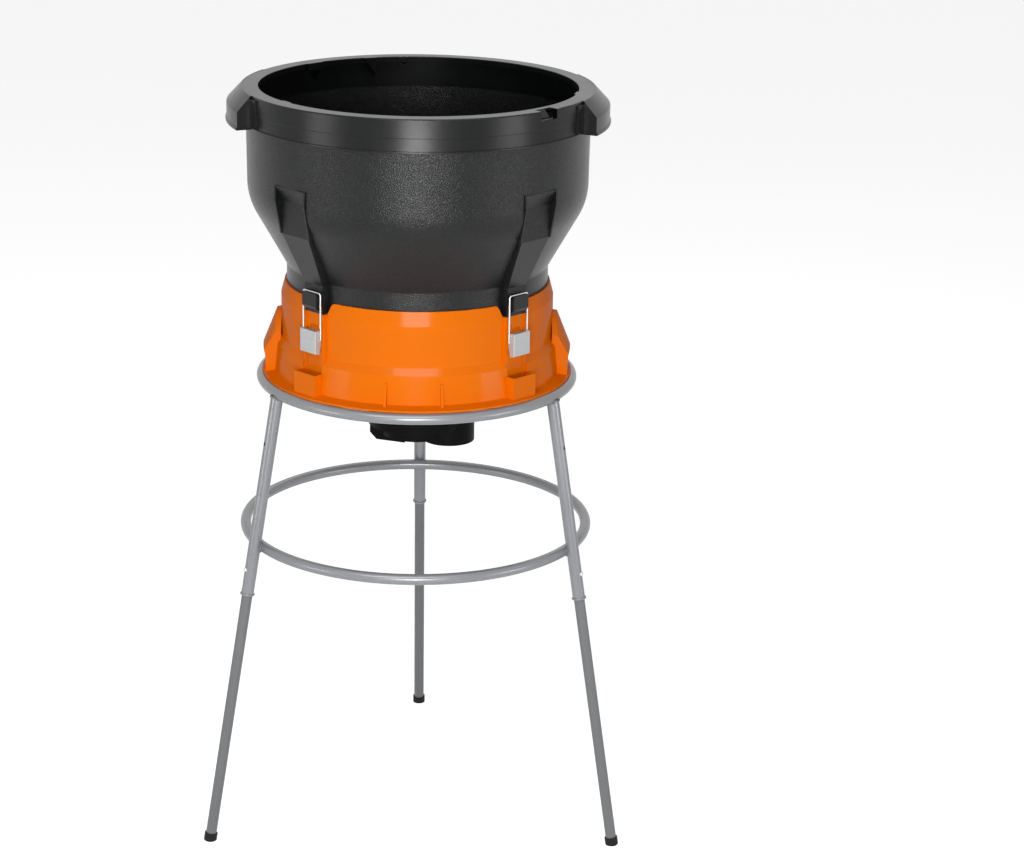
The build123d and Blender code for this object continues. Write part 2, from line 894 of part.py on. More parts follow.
with BuildPart() as hopper:
    revolve(upright(hopper_outside + hopper_inside, 0, outside_bends + inside_bends), axis=Axis.Z)
    # Hand grips at the two sides, hollow from below, with closed ends
    for side in SIDES:
        start = side - grip_half_angle
        grip = upright(grip_profile, start, grip_bends)
        revolve(grip, axis=Axis.Z, revolution_arc=2 * grip_half_angle)
        inner_end = degrees(grip_wall / grip_reach)
        hollow_start = start + inner_end
        hollow_arc = 2 * (grip_half_angle - inner_end)
        hollow = upright(grip_hollow, hollow_start)
        revolve(hollow, axis=Axis.Z, revolution_arc=hollow_arc, mode=Mode.SUBTRACT)
        for root_start in (start - grip_root_arc, side + grip_half_angle):
            root = upright(grip_root, root_start)
            revolve(root, axis=Axis.Z, revolution_arc=grip_root_arc)
    # Ribs: a backing behind each recess, the recess, then the rib and its catch
    recess = [
        (rib_face, rib_face_bottom_height - 20),
        (rib_face, rib_face_top_height),
        (body_top_radius, rib_top_height + 1),
        (body_top_radius + 20, rib_top_height + 1),
        (body_top_radius + 20, rib_face_bottom_height - 20),
    ]
    backing = [
        (rib_face - hopper_wall, rib_face_bottom_height),
        (rib_face + 1, rib_face_bottom_height),
        (body_top_radius, rib_face_top_height),
        (body_top_radius - 1, rib_top_height + hopper_wall),
        (body_top_radius - hopper_wall, rib_top_height + hopper_wall),
        (rib_face - hopper_wall, rib_face_top_height + hopper_wall),
    ]
    hook_block = [
        (rib_foot_face - 1, catch_low_height),
        (catch_reach - 3, catch_low_height + 4),
        (catch_reach, catch_low_height + 9),
        (catch_reach, catch_top + catch_lip_height),
        (catch_reach - catch_lip_width, catch_top + catch_lip_height),
        (catch_reach - catch_lip_width, catch_top),
        (rib_foot_face - 1, catch_top),
    ]
    for angle in CORNERS.values():
        add(rib_block(backing, hopper_wall).rotate(Axis.Z, angle))
        add(rib_block(recess).rotate(Axis.Z, angle), mode=Mode.SUBTRACT)
        add(rib_block(rib_outline).rotate(Axis.Z, angle))
        extrude(upright(hook_block, angle), amount=catch_half_width, both=True)
    # Slot through the band at the front right, with a slanting tab in its left part
    slot_low = hopper_top_height - slot_height
    slot = [
        (slot_root_radius, slot_low),
        (grip_reach, slot_low),
        (grip_reach, hopper_top_height + 1),
        (slot_root_radius, hopper_top_height + 1),
    ]
    extrude(upright(slot, slot_bearing), amount=slot_half_width, both=True, mode=Mode.SUBTRACT)
    tab_low = hopper_top_height - slot_tab_drop
    slot_tab = [
        (slot_root_radius - 1, hopper_top_height - slot_tab_thickness),
        (slot_root_radius + slot_tab_reach - 1, tab_low - slot_tab_thickness + fit_gap),
        (slot_root_radius + slot_tab_reach, tab_low),
        (slot_root_radius, hopper_top_height),
        (slot_root_radius - 1, hopper_top_height),
    ]
    tab_shift = degrees((slot_half_width - slot_tab_half_width) / rim_radius)
    extrude(upright(slot_tab, slot_bearing - tab_shift), amount=slot_tab_half_width, both=True)
    # Tabs that hang from the mouth's inner edge, two of them with a fin back to the wall
    hung_tabs = [(bearing, low_tab, low_hook_half_width) for bearing in low_hook_bearings]
    hung_tabs += [
        (wide_hook_bearing, wide_tab, wide_hook_half_width),
        (deep_hook_bearing, deep_tab, deep_hook_half_width),
    ]
    for bearing, outline, half_width in hung_tabs:
        view = face_plane(bearing, mouth_radius - rim_hook_reach, hopper_top_height)
        extrude(facing(outline, view), amount=rim_hook_reach + rim_bead_width)
    for (bearing, _, half_width), drop in zip(hung_tabs[2:], (wide_hook_drop, deep_hook_drop)):
        rim_fin = [
            (mouth_radius, hopper_top_height - drop),
            (body_top_radius - hopper_wall / 2, hopper_top_height - rim_fin_drop),
            (body_top_radius - hopper_wall / 2, hopper_top_height - rim_plate / 2),
            (mouth_radius, hopper_top_height - rim_plate / 2),
        ]
        fin_shift = degrees((half_width - rim_fin_thickness / 2) / mouth_radius)
        extrude(upright(rim_fin, bearing - fin_shift), amount=rim_fin_thickness / 2, both=True)
    # Small half-round boss under the mouth's edge at the back
    boss_place = face_plane(boss_bearing, mouth_radius - boss_reach, hopper_top_height - boss_drop)
    with BuildSketch(boss_place):
        Circle(boss_radius)
        Circle(boss_bore_radius, mode=Mode.SUBTRACT)
    extrude(amount=boss_reach + rim_bead_width)
    with BuildSketch(Plane.XY.offset(hopper_top_height)):
        Circle(rim_radius)
    extrude(amount=boss_radius, mode=Mode.SUBTRACT)

save(base_housing.part, "base_housing")
save(hopper.part, "hopper")

# Draw latches, drawn at angle 0 and turned to their corners
with BuildPart() as latch_plate:
    base = [
        (pad_face, plate_low_height),
        (pad_face + plate_thickness, plate_low_height),
        (pad_face + plate_thickness, plate_high_height),
        (pad_face, plate_high_height),
    ]
    extrude(upright(base), amount=plate_half_width, both=True)
    plate_face = pad_face + plate_thickness
    ear = [
        (plate_face - 0.5, ear_low_height),
        (plate_face - 0.5, ear_high_height),
        (pivot_radius - ear_radius * 0.77, pivot_height + ear_radius * 0.64),
        (pivot_radius + ear_radius * 0.75, pivot_height - ear_radius * 0.66),
    ]
    with BuildSketch(Plane.XZ) as ear_shape:
        with BuildLine():
            Polyline(*ear, close=True)
        make_face()
        with Locations((pivot_radius, pivot_height)):
            Circle(ear_radius)
            Circle(pivot_pin_diameter / 2, mode=Mode.SUBTRACT)
    for across in (-ear_offset - plate_thickness, ear_offset):
        extrude(ear_shape.sketch.moved(Location((0, across + plate_thickness, 0))), amount=plate_thickness)
    for height in rivet_heights:
        with BuildSketch(face_plane(0, pad_face, height)):
            Circle(rivet_diameter / 2 + running_gap)
        extrude(amount=plate_thickness * 2, mode=Mode.SUBTRACT)

with BuildPart() as latch_pin:
    with BuildSketch(Plane.XZ.offset(-lever_half_width + 0.2)):
        with Locations((pivot_radius, pivot_height)):
            Circle(pivot_pin_diameter / 2)
    extrude(amount=2 * (lever_half_width - 0.2))

rivet_tail = chamber_radius - chamber_wall - 1
with BuildPart() as latch_rivets:
    for height in rivet_heights:
        with BuildSketch(face_plane(0, rivet_tail, height)):
            Circle(rivet_diameter / 2)
        extrude(amount=plate_face - rivet_tail)
        with BuildSketch(face_plane(0, plate_face, height)):
            Circle(rivet_head_diameter / 2)
        extrude(amount=rivet_head_height)

cheek = [
    (lever_face - lever_plate, lever_bottom_height),
    (lever_face - lever_plate, lever_top_height),
    (pivot_radius - 3.5, lever_top_height),
    (bail_radius - ear_radius, bail_pivot_height + 4),
    (bail_radius - ear_radius, bail_pivot_height - 6),
    (bail_radius + 1, lever_bottom_height),
]
with BuildPart() as latch_lever:
    with BuildSketch(face_plane(0, lever_face - lever_plate, (lever_top_height + lever_bottom_height) / 2)):
        Rectangle(2 * lever_half_width, lever_top_height - lever_bottom_height)
    extrude(amount=lever_plate)
    fillet(faces().sort_by(Axis.X)[-1].edges(), lever_fillet)
    with BuildSketch(face_plane(0, lever_face, (lever_top_height + lever_bottom_height) / 2)):
        RectangleRounded(
            2 * (lever_half_width - lever_panel_inset),
            lever_top_height - lever_bottom_height - 2 * lever_panel_inset,
            lever_fillet,
        )
    extrude(amount=-lever_panel_depth, mode=Mode.SUBTRACT)
    for across in (-lever_half_width + lever_cheek, lever_half_width):
        extrude(upright(cheek).moved(Location((0, across, 0))), amount=lever_cheek)
    floor = [
        (bail_radius + 1, lever_bottom_height),
        (lever_face - lever_plate, lever_bottom_height),
        (lever_face - lever_plate, lever_bottom_height + lever_floor),
        (bail_radius + 1, lever_bottom_height + lever_floor),
    ]
    extrude(upright(floor), amount=lever_half_width, both=True)
    with BuildSketch(Plane.XZ.offset(-lever_half_width)):
        with Locations((pivot_radius, pivot_height)):
            Circle(pivot_pin_diameter / 2 + running_gap)
        with Locations((bail_radius, bail_pivot_height)):
            Circle(bail_wire / 2 + running_gap)
    extrude(amount=2 * lever_half_width, mode=Mode.SUBTRACT)

with BuildPart() as latch_bail:
    wire_end = lever_half_width - lever_cheek
    with BuildLine(face_plane(0, bail_radius)) as bail_path:
        FilletPolyline(
            (-wire_end, bail_pivot_height),
            (-bail_half_width, bail_pivot_height),
            (-bail_half_width, bail_bar_height),
            (bail_half_width, bail_bar_height),
            (bail_half_width, bail_pivot_height),
            (wire_end, bail_pivot_height),
            radius=(bail_end_corner, bail_corner, bail_corner, bail_end_corner),
        )
    with BuildSketch(Plane(origin=bail_path.line @ 0, z_dir=bail_path.line % 0)):
        Circle(bail_wire / 2)
    sweep()

for name, angle in CORNERS.items():
    save(latch_lever.part.rotate(Axis.Z, angle), f"latch_lever_{name}")
    save(latch_bail.part.rotate(Axis.Z, angle), f"latch_bail_{name}")


def at_corners(piece):
    """The same piece at each of the four corners, as one group of solids."""
    return Compound(children=[piece.rotate(Axis.Z, angle) for angle in CORNERS.values()])


save(at_corners(latch_plate.part), "latch_plates")
save(at_corners(latch_pin.part), "latch_pins")
rivets = [rivet.rotate(Axis.Z, angle) for rivet in latch_rivets.part.solids() for angle in CORNERS.values()]
save(Compound(children=rivets), "latch_rivets")

# Motor bridge: cup, neck for the upper bearing, stator sleeve and four arms with feet
sleeve_bore = stator_radius + seat_gap
core_top_height = core_low_height + core_height
seal_seat_height = upper_bearing_height + upper_bearing_width
bridge_half = [
    (bridge_cup_radius, bridge_split_height),
    (bridge_cup_radius, bridge_top_height),
    (neck_radius, bridge_top_height),
    (neck_radius, neck_top_height),
    (upper_bearing_od / 2 + running_gap, neck_top_height),
    (upper_bearing_od / 2 + running_gap, upper_bearing_height),
    (neck_bore, upper_bearing_height),
    (neck_bore, bridge_top_height - bridge_plate),
    (sleeve_bore - sleeve_shoulder, bridge_top_height - bridge_plate),
    (sleeve_bore - sleeve_shoulder, core_top_height),
    (sleeve_bore, core_top_height),
    (sleeve_bore, core_low_height),
    (sleeve_bore + stator_sleeve_wall, core_low_height),
    (sleeve_bore + stator_sleeve_wall, bridge_top_height - bridge_plate),
    (bridge_cup_radius - bridge_cup_wall, bridge_top_height - bridge_plate),
    (bridge_cup_radius - bridge_cup_wall, bridge_split_height),
]
arm_outline = [
    (bridge_cup_radius - bridge_cup_wall, arm_bottom_height),
    (arm_end_radius - arm_foot_length, arm_top_height - arm_foot_thickness),
    (arm_end_radius, arm_top_height - arm_foot_thickness),
    (arm_end_radius, arm_top_height),
    (bridge_cup_radius - bridge_cup_wall, arm_top_height),
]
with BuildPart() as motor_bridge:
    revolve(upright(bridge_half), axis=Axis.Z)
    for angle in arm_bearings:
        extrude(upright(arm_outline, angle), amount=arm_width / 2, both=True)
        with BuildSketch(Plane.XY.offset(arm_top_height)):
            with Locations(Location((0, 0), angle)):
                with Locations((arm_end_radius - arm_foot_length / 2, 0)):
                    Rectangle(arm_foot_length, 2 * arm_foot_half_width)
                    for across in (-foot_screw_offset, foot_screw_offset):
                        with Locations((0, across)):
                            Circle(screw_radius + fit_gap, mode=Mode.SUBTRACT)
        extrude(amount=-arm_foot_thickness)
    # Posts that take the cover's screws, in the corners between the arms
    with BuildSketch(Plane.XY.offset(bridge_split_height)):
        with PolarLocations(cover_screw_circle, arm_count, start_angle=180 / arm_count):
            Circle(cover_post_radius)
    extrude(amount=screw_length)
    with BuildSketch(Plane.XY.offset(bridge_split_height)):
        with PolarLocations(cover_screw_circle, arm_count, start_angle=180 / arm_count):
            Circle(screw_radius)
    extrude(amount=screw_length, mode=Mode.SUBTRACT)
    # Windows in the sleeve that let the fan's air out
    for turn in range(window_count):
        with BuildSketch(radial_plane(360 / window_count * (turn + 0.5))):
            with Locations((sleeve_bore, fan_low_height + fan_height / 2)):
                Rectangle(stator_sleeve_wall * 4, fan_height + 2 * window_margin)
        extrude(amount=window_width / 2, both=True, mode=Mode.SUBTRACT)
save(motor_bridge.part, "motor_bridge")

arm_foot_height = arm_top_height - arm_foot_thickness
bridge_screw_steps = [
    (arm_foot_height - screw_head_height, screw_head_radius, screw_head_height),
    (arm_foot_height, screw_radius, screw_length),
]
with BuildPart() as bridge_screws:
    for angle in arm_bearings:
        for across in (-foot_screw_offset, foot_screw_offset):
            for low, radius, length in bridge_screw_steps:
                with BuildSketch(Plane.XY.offset(low)):
                    with Locations(Location((0, 0), angle)):
                        with Locations((arm_end_radius - arm_foot_length / 2, across)):
                            Circle(radius)
                extrude(amount=length)
save(bridge_screws.part, "bridge_screws")


# Under cover of the motor: two stepped cups, a spur to the left and a turret to the right
def cover_block(inset):
    """Solid of the cover's outside, or of its inside when drawn smaller by the wall."""
    spur = [
        (-spur_length + inset, -spur_nose_front + inset),
        (-spur_root + inset, -spur_front + inset),
        (-spur_root + inset, spur_back - inset),
        (-spur_length + inset, spur_back - inset),
    ]
    with BuildPart() as block:
        with BuildSketch(Plane.XY.offset(cover_step_height + inset)):
            Circle(cover_radius - inset)
        extrude(amount=bridge_split_height - cover_step_height)
        with BuildSketch(Plane.XY.offset(cover_bottom_height + inset)):
            Circle(cover_cup_radius - inset)
        extrude(amount=cover_step_height - cover_bottom_height)
        with BuildSketch(Plane.XY.offset(spur_bottom_height + inset)):
            with BuildLine():
                Polyline(*spur, close=True)
            make_face()
        extrude(amount=bulge_top_height - spur_bottom_height - 2 * inset)
        spur_edge = edges().filter_by(Axis.Y).group_by(Axis.Z)[0].sort_by(Axis.X)[0]
        chamfer(spur_edge, spur_chamfer - inset, spur_chamfer)
        with BuildSketch(Plane.XY.offset(turret_bottom_height + inset)):
            with Locations(turret_centre):
                Circle(turret_radius - inset)
        extrude(amount=bulge_top_height - turret_bottom_height - 2 * inset)
        split(bisect_by=Plane.XY.offset(bridge_split_height), keep=Keep.BOTTOM)
    return block.part


lower_seat_height = shaft_bottom_height
post_top = bridge_split_height - cover_screw_land
holder_across = brush_width + 2 * (brush_gap + holder_wall)
holder_tall = brush_height + 2 * (brush_gap + holder_wall)
brush_height_above = commutator_low_height + commutator_length / 2
with BuildPart() as motor_cover:
    add(cover_block(0))
    add(cover_block(cover_wall), mode=Mode.SUBTRACT)
    # Posts for the screws, hollow from below up to the land that the screw heads press on
    with BuildSketch(Plane.XY.offset(cover_step_height)):
        with PolarLocations(cover_screw_circle, arm_count, start_angle=180 / arm_count):
            Circle(cover_post_radius)
    extrude(amount=bridge_split_height - cover_step_height)
    for low, radius, length in (
        (cover_step_height, screw_head_radius + fit_gap, post_top - cover_step_height),
        (post_top, screw_radius + fit_gap, cover_screw_land),
    ):
        with BuildSketch(Plane.XY.offset(low)):
            with PolarLocations(cover_screw_circle, arm_count, start_angle=180 / arm_count):
                Circle(radius)
        extrude(amount=length, mode=Mode.SUBTRACT)
    # Seat of the lower bearing
    with BuildSketch(Plane.XY.offset(cover_bottom_height)):
        Circle(lower_bearing_od / 2 + running_gap + cover_wall)
    extrude(amount=lower_seat_height + lower_bearing_width - cover_bottom_height)
    with BuildSketch(Plane.XY.offset(lower_seat_height)):
        Circle(lower_bearing_od / 2 + running_gap)
    extrude(amount=lower_bearing_width, mode=Mode.SUBTRACT)
    # Pillars under the brush holders
    with BuildSketch(Plane.XY.offset(cover_bottom_height + cover_wall / 2)):
        with Locations((0, holder_middle), (0, -holder_middle)):
            Rectangle(holder_across, holder_length / 2)
    extrude(amount=brush_height_above - holder_tall / 2 - cover_bottom_height - cover_wall / 2)
save(motor_cover.part, "motor_cover")

with BuildPart() as cover_screws:
    for low, radius, length in (
        (post_top - screw_head_height, screw_head_radius, screw_head_height),
        (post_top, screw_radius, screw_length),
    ):
        with BuildSketch(Plane.XY.offset(low)):
            with PolarLocations(cover_screw_circle, arm_count, start_angle=180 / arm_count):
                Circle(radius)
        extrude(amount=length)
save(cover_screws.part, "cover_screws")


# Motor. Its shaft runs up through the bridge's neck and carries everything that spins
body_start = lower_seat_height + lower_bearing_width
with BuildPart() as motor_shaft:
    for low, high, radius in (
        (shaft_bottom_height, body_start, shaft_tail_radius),
        (body_start, hub_bottom_height, shaft_radius),
        (hub_bottom_height, shaft_top_height, shaft_nose_radius),
    ):
        with BuildSketch(Plane.XY.offset(low)):
            Circle(radius)
        extrude(amount=high - low)
    chamfer(edges().sort_by(Axis.Z)[-1], shaft_chamfer)
save(motor_shaft.part, "motor_shaft")

for name, low, width, outer, inner in (
    ("upper_bearing", upper_bearing_height, upper_bearing_width, upper_bearing_od / 2, shaft_radius),
    ("lower_bearing", lower_seat_height, lower_bearing_width, lower_bearing_od / 2, shaft_tail_radius),
):
    with BuildPart() as bearing:
        with BuildSketch(Plane.XY.offset(low)):
            Circle(outer)
            Circle(inner + running_gap, mode=Mode.SUBTRACT)
        extrude(amount=width)
        for face_height, depth in ((low, race_groove), (low + width, -race_groove)):
            with BuildSketch(Plane.XY.offset(face_height)):
                Circle(outer * 2 / 3 + inner / 3)
                Circle(outer / 3 + inner * 2 / 3, mode=Mode.SUBTRACT)
            extrude(amount=depth, mode=Mode.SUBTRACT)
    save(bearing.part, name)

with BuildPart() as shaft_seal:
    with BuildSketch(Plane.XY.offset(seal_seat_height)):
        Circle(upper_bearing_od / 2)
        Circle(shaft_radius + running_gap, mode=Mode.SUBTRACT)
    extrude(amount=neck_top_height - seal_seat_height)
save(shaft_seal.part, "shaft_seal")


def ring_sector(inner, outer, half_angle):
    """Sector of a ring, centred on the X axis and on its mirror image."""
    reach = stator_radius * 2
    with BuildSketch() as sector:
        with BuildLine():
            Polyline(
                (0, 0),
                (reach * cos(radians(half_angle)), -reach * sin(radians(half_angle))),
                (reach, 0),
                (reach * cos(radians(half_angle)), reach * sin(radians(half_angle))),
                close=True,
            )
        make_face()
        mirror(about=Plane.YZ)
        Circle(outer, mode=Mode.INTERSECT)
        Circle(inner, mode=Mode.SUBTRACT)
    return sector.sketch


# Stator core: a yoke with two poles, each carrying a field winding
pole_bore = armature_radius + air_gap
pole_back = pole_bore + pole_shoe
yoke_bore = stator_radius - yoke_width
with BuildPart() as field_core:
    with BuildSketch(Plane.XY.offset(core_low_height)):
        Circle(stator_radius)
        Circle(yoke_bore, mode=Mode.SUBTRACT)
        Rectangle(2 * (yoke_bore + yoke_width / 2), pole_width)
        add(ring_sector(pole_bore, pole_back, pole_half_angle))
        Circle(pole_bore, mode=Mode.SUBTRACT)
    extrude(amount=core_height)
save(field_core.part, "field_core")

with BuildPart() as field_windings:
    with BuildSketch(Plane.XY.offset(core_low_height - winding_rise)):
        add(ring_sector(pole_back + winding_gap, yoke_bore - winding_gap, pole_half_angle - 2))
    extrude(amount=core_height + 2 * winding_rise)
    with BuildSketch(Plane.XY.offset(core_low_height - winding_gap)):
        Rectangle(2 * stator_radius, pole_width + 2 * winding_gap)
    extrude(amount=core_height + 2 * winding_gap, mode=Mode.SUBTRACT)
save(field_windings.part, "field_windings")

# Armature: slotted core, windings that fill the slots, and the commutator under it
with BuildPart() as armature_core:
    with BuildSketch(Plane.XY.offset(core_low_height)):
        Circle(armature_radius)
        Circle(shaft_radius + running_gap, mode=Mode.SUBTRACT)
        with PolarLocations(slot_root + slot_depth / 2, armature_slots):
            Rectangle(slot_depth, slot_width, mode=Mode.SUBTRACT)
        with PolarLocations(armature_radius, armature_slots):
            Rectangle(slot_depth, slot_mouth, mode=Mode.SUBTRACT)
    extrude(amount=core_height)
save(armature_core.part, "armature_core")

with BuildPart() as armature_windings:
    with BuildSketch(Plane.XY.offset(core_low_height - winding_rise)):
        with PolarLocations(slot_root + slot_depth / 2, armature_slots):
            Rectangle(slot_depth - 2 * winding_gap, slot_width - 2 * winding_gap)
    extrude(amount=core_height + 2 * winding_rise)
    for low in (core_low_height - winding_rise, core_top_height):
        with BuildSketch(Plane.XY.offset(low)):
            Circle(slot_root + slot_depth)
            Circle(slot_root - 1, mode=Mode.SUBTRACT)
        extrude(amount=winding_rise)
save(armature_windings.part, "armature_windings")

with BuildPart() as commutator:
    with BuildSketch(Plane.XY.offset(commutator_low_height)):
        Circle(commutator_radius)
        Circle(shaft_radius + running_gap, mode=Mode.SUBTRACT)
        with PolarLocations(commutator_radius, commutator_bars):
            Rectangle(2 * commutator_groove, commutator_groove, mode=Mode.SUBTRACT)
    extrude(amount=commutator_length)
save(commutator.part, "commutator")

# Brushes in their holders, in front of and behind the commutator
brush_tip = commutator_radius + running_gap
brush_ends = Plane.XZ.offset(-brush_tip), Plane.XZ.offset(brush_tip)
holder_start = holder_middle - holder_length / 2
holder_ends = Plane.XZ.offset(-holder_start), Plane.XZ.offset(holder_start)
with BuildPart() as carbon_brushes:
    for plane, length in zip(brush_ends, (-brush_length, brush_length)):
        with BuildSketch(plane):
            with Locations((0, brush_height_above)):
                Rectangle(brush_width, brush_height)
        extrude(amount=length)
    with BuildSketch(Plane.XY.offset(commutator_low_height)):
        Circle(brush_tip)
    extrude(amount=commutator_length, mode=Mode.SUBTRACT)
save(carbon_brushes.part, "carbon_brushes")

with BuildPart() as brush_holders:
    for plane, length in zip(holder_ends, (-holder_length, holder_length)):
        with BuildSketch(plane):
            with Locations((0, brush_height_above)):
                Rectangle(holder_across, holder_tall)
                Rectangle(brush_width + 2 * brush_gap, brush_height + 2 * brush_gap, mode=Mode.SUBTRACT)
        extrude(amount=length)
        with BuildSketch(plane.offset(length)):
            with Locations((0, brush_height_above)):
                Rectangle(holder_across, holder_tall)
        extrude(amount=holder_wall if length > 0 else -holder_wall)
save(brush_holders.part, "brush_holders")

with BuildPart() as brush_springs:
    spring_start = brush_tip + brush_length
    for side in (1, -1):
        with BuildSketch(Plane.XZ.offset(-side * spring_start)):
            with Locations((0, brush_height_above)):
                Circle(brush_spring_radius)
                Circle(brush_spring_radius - brush_spring_wall, mode=Mode.SUBTRACT)
        extrude(amount=-side * (holder_start + holder_length - spring_start))
save(brush_springs.part, "brush_springs")

with BuildPart() as cooling_fan:
    with BuildSketch(Plane.XY.offset(fan_low_height)):
        Circle(fan_radius)
        Circle(shaft_radius + running_gap, mode=Mode.SUBTRACT)
    extrude(amount=fan_disc)
    with BuildSketch(Plane.XY.offset(fan_low_height)):
        Circle(fan_hub_radius)
        Circle(shaft_radius + running_gap, mode=Mode.SUBTRACT)
        with PolarLocations((fan_radius + fan_hub_radius) / 2, fan_blades):
            Rectangle(fan_radius - fan_hub_radius, fan_disc, rotation=fan_blade_angle)
    extrude(amount=fan_height)
    with BuildSketch(Plane.XY.offset(fan_low_height)):
        Circle(fan_radius)
    extrude(amount=fan_height, mode=Mode.INTERSECT)
    with BuildSketch(Plane.XY.offset(fan_low_height)):
        Circle(shaft_radius + running_gap)
    extrude(amount=fan_height, mode=Mode.SUBTRACT)
save(cooling_fan.part, "cooling_fan")


# Cutting head: a disc on the shaft's shoulder, lines in its grooves, cap, washer and nut
nose_bore = shaft_nose_radius + running_gap
cap_top_height = head_height + cap_rise


def spokes(start, end, radius):
    """Round bars laid out like spokes at the cutting height, one for each line."""
    with BuildPart() as bars:
        for turn in range(line_count):
            with BuildSketch(face_plane(360 / line_count * turn, start, head_height)):
                Circle(radius)
            extrude(amount=end - start)
    return bars.part


line_grooves = spokes(line_start - fit_gap, line_reach, line_diameter / 2 + line_gap)
disc_half = [
    (nose_bore, hub_bottom_height),
    (hub_radius, hub_bottom_height),
    (hub_radius, head_height - disc_thickness),
    (head_radius, head_height - disc_thickness),
    (head_radius, head_height),
    (nose_bore, head_height),
]
with BuildPart() as cutter_disc:
    revolve(upright(disc_half), axis=Axis.Z)
    add(line_grooves, mode=Mode.SUBTRACT)
save(cutter_disc.part, "cutter_disc")

cap_half = [
    (nose_bore, head_height),
    (line_start + cap_wall, head_height),
    (line_start + cap_wall, cap_top_height - 2 * cap_wall),
    (cap_radius - cap_wall * 2, head_height + cap_wall),
    (cap_radius - cap_wall * 2, head_height),
    (cap_radius, head_height),
    (cap_radius, head_height + cap_wall),
    (cap_flat_radius, cap_top_height),
    (nose_bore, cap_top_height),
]
with BuildPart() as cutter_cap:
    revolve(upright(cap_half), axis=Axis.Z)
    add(line_grooves, mode=Mode.SUBTRACT)
save(cutter_cap.part, "cutter_cap")
save(spokes(line_start, line_reach, line_diameter / 2), "cutting_lines")

with BuildPart() as cutter_washer:
    with BuildSketch(Plane.XY.offset(cap_top_height)):
        Circle(washer_radius)
        Circle(nose_bore, mode=Mode.SUBTRACT)
    extrude(amount=washer_thickness)
save(cutter_washer.part, "cutter_washer")

with BuildPart() as cutter_nut:
    with BuildSketch(Plane.XY.offset(cap_top_height + washer_thickness)):
        RegularPolygon(nut_flats / 2, 6, major_radius=False)
        Circle(nose_bore, mode=Mode.SUBTRACT)
    extrude(amount=nut_height)
save(cutter_nut.part, "cutter_nut")


# Switch box on the back, its open side cut to the housing's wall
clear_wall = [(radius + fit_gap, height) for radius, height in housing_outside[1:5]]
with BuildPart(mode=Mode.PRIVATE) as housing_core:
    low_radius, low_level = clear_wall[-1]
    revolve(upright([(0, low_level)] + clear_wall[::-1] + [(0, lip_bottom_height)]), axis=Axis.Z)

with BuildPart() as switch_box:
    with BuildSketch(back_plane(box_face)):
        with Locations((0, box_middle)):
            Rectangle(box_width, box_height)
    extrude(amount=-box_depth)
    fillet(faces().sort_by(Axis.Y)[-1].edges() + edges().filter_by(Axis.Y), box_fillet)
    with BuildSketch(back_plane(inner_face)):
        with Locations((0, box_middle)):
            Rectangle(box_width - 2 * box_wall, box_height - 2 * box_wall)
    extrude(amount=-box_depth, mode=Mode.SUBTRACT)
    for x, height in box_screws_at:
        with BuildSketch(back_plane(box_face - box_wall / 2)):
            with Locations((-x, height)):
                Circle(box_post_radius)
        extrude(amount=-box_depth)
    add(housing_core.part, mode=Mode.SUBTRACT)
    for x, height in box_screws_at:
        seat = post_foot(x, height) + box_screw_land
        with BuildSketch(back_plane(seat)):
            with Locations((-x, height)):
                Circle(screw_head_radius + fit_gap)
        extrude(amount=box_face - seat, mode=Mode.SUBTRACT)
        with BuildSketch(back_plane(seat)):
            with Locations((-x, height)):
                Circle(screw_radius + running_gap)
        extrude(amount=-box_depth, mode=Mode.SUBTRACT)
    with BuildSketch(back_plane(box_face)):
        with Locations((-rocker_x, rocker_z)):
            Rectangle(module_width + 2 * fit_gap, module_height + 2 * fit_gap)
        with Locations((-inlet_x, inlet_z)):
            Rectangle(inlet_width + 2 * fit_gap, inlet_height + 2 * fit_gap)
        with Locations((-reset_x, reset_z)):
            Circle(reset_diameter / 2 + fit_gap)
    extrude(amount=-2 * box_wall, mode=Mode.SUBTRACT)
save(switch_box.part, "switch_box")

# Rocker switch: its module, and the rocker on two pins, tilted to off
pivot_depth = box_face - rocker_pivot_inset
with BuildPart() as switch_module:
    for plane, width, height, depth in (
        (back_plane(box_face), module_width + 2 * bezel, module_height + 2 * bezel, bezel_height),
        (back_plane(box_face), module_width, module_height, -switch_depth),
    ):
        with BuildSketch(plane):
            with Locations((-rocker_x, rocker_z)):
                RectangleRounded(width, height, bezel / 2)
        extrude(amount=depth)
    with BuildSketch(back_plane(box_face + bezel_height)):
        with Locations((-rocker_x, rocker_z)):
            Rectangle(rocker_width + 2 * rocker_side_play, rocker_height + 2 * rocker_play)
    extrude(amount=-rocker_depth - bezel_height, mode=Mode.SUBTRACT)
    with BuildSketch(Plane.YZ.offset(rocker_x)):
        with Locations((pivot_depth, rocker_z)):
            Circle(rocker_pin + running_gap)
    extrude(amount=rocker_width / 2 + rocker_side_play + rocker_pin_grip, both=True, mode=Mode.SUBTRACT)
save(switch_module.part, "switch_module")

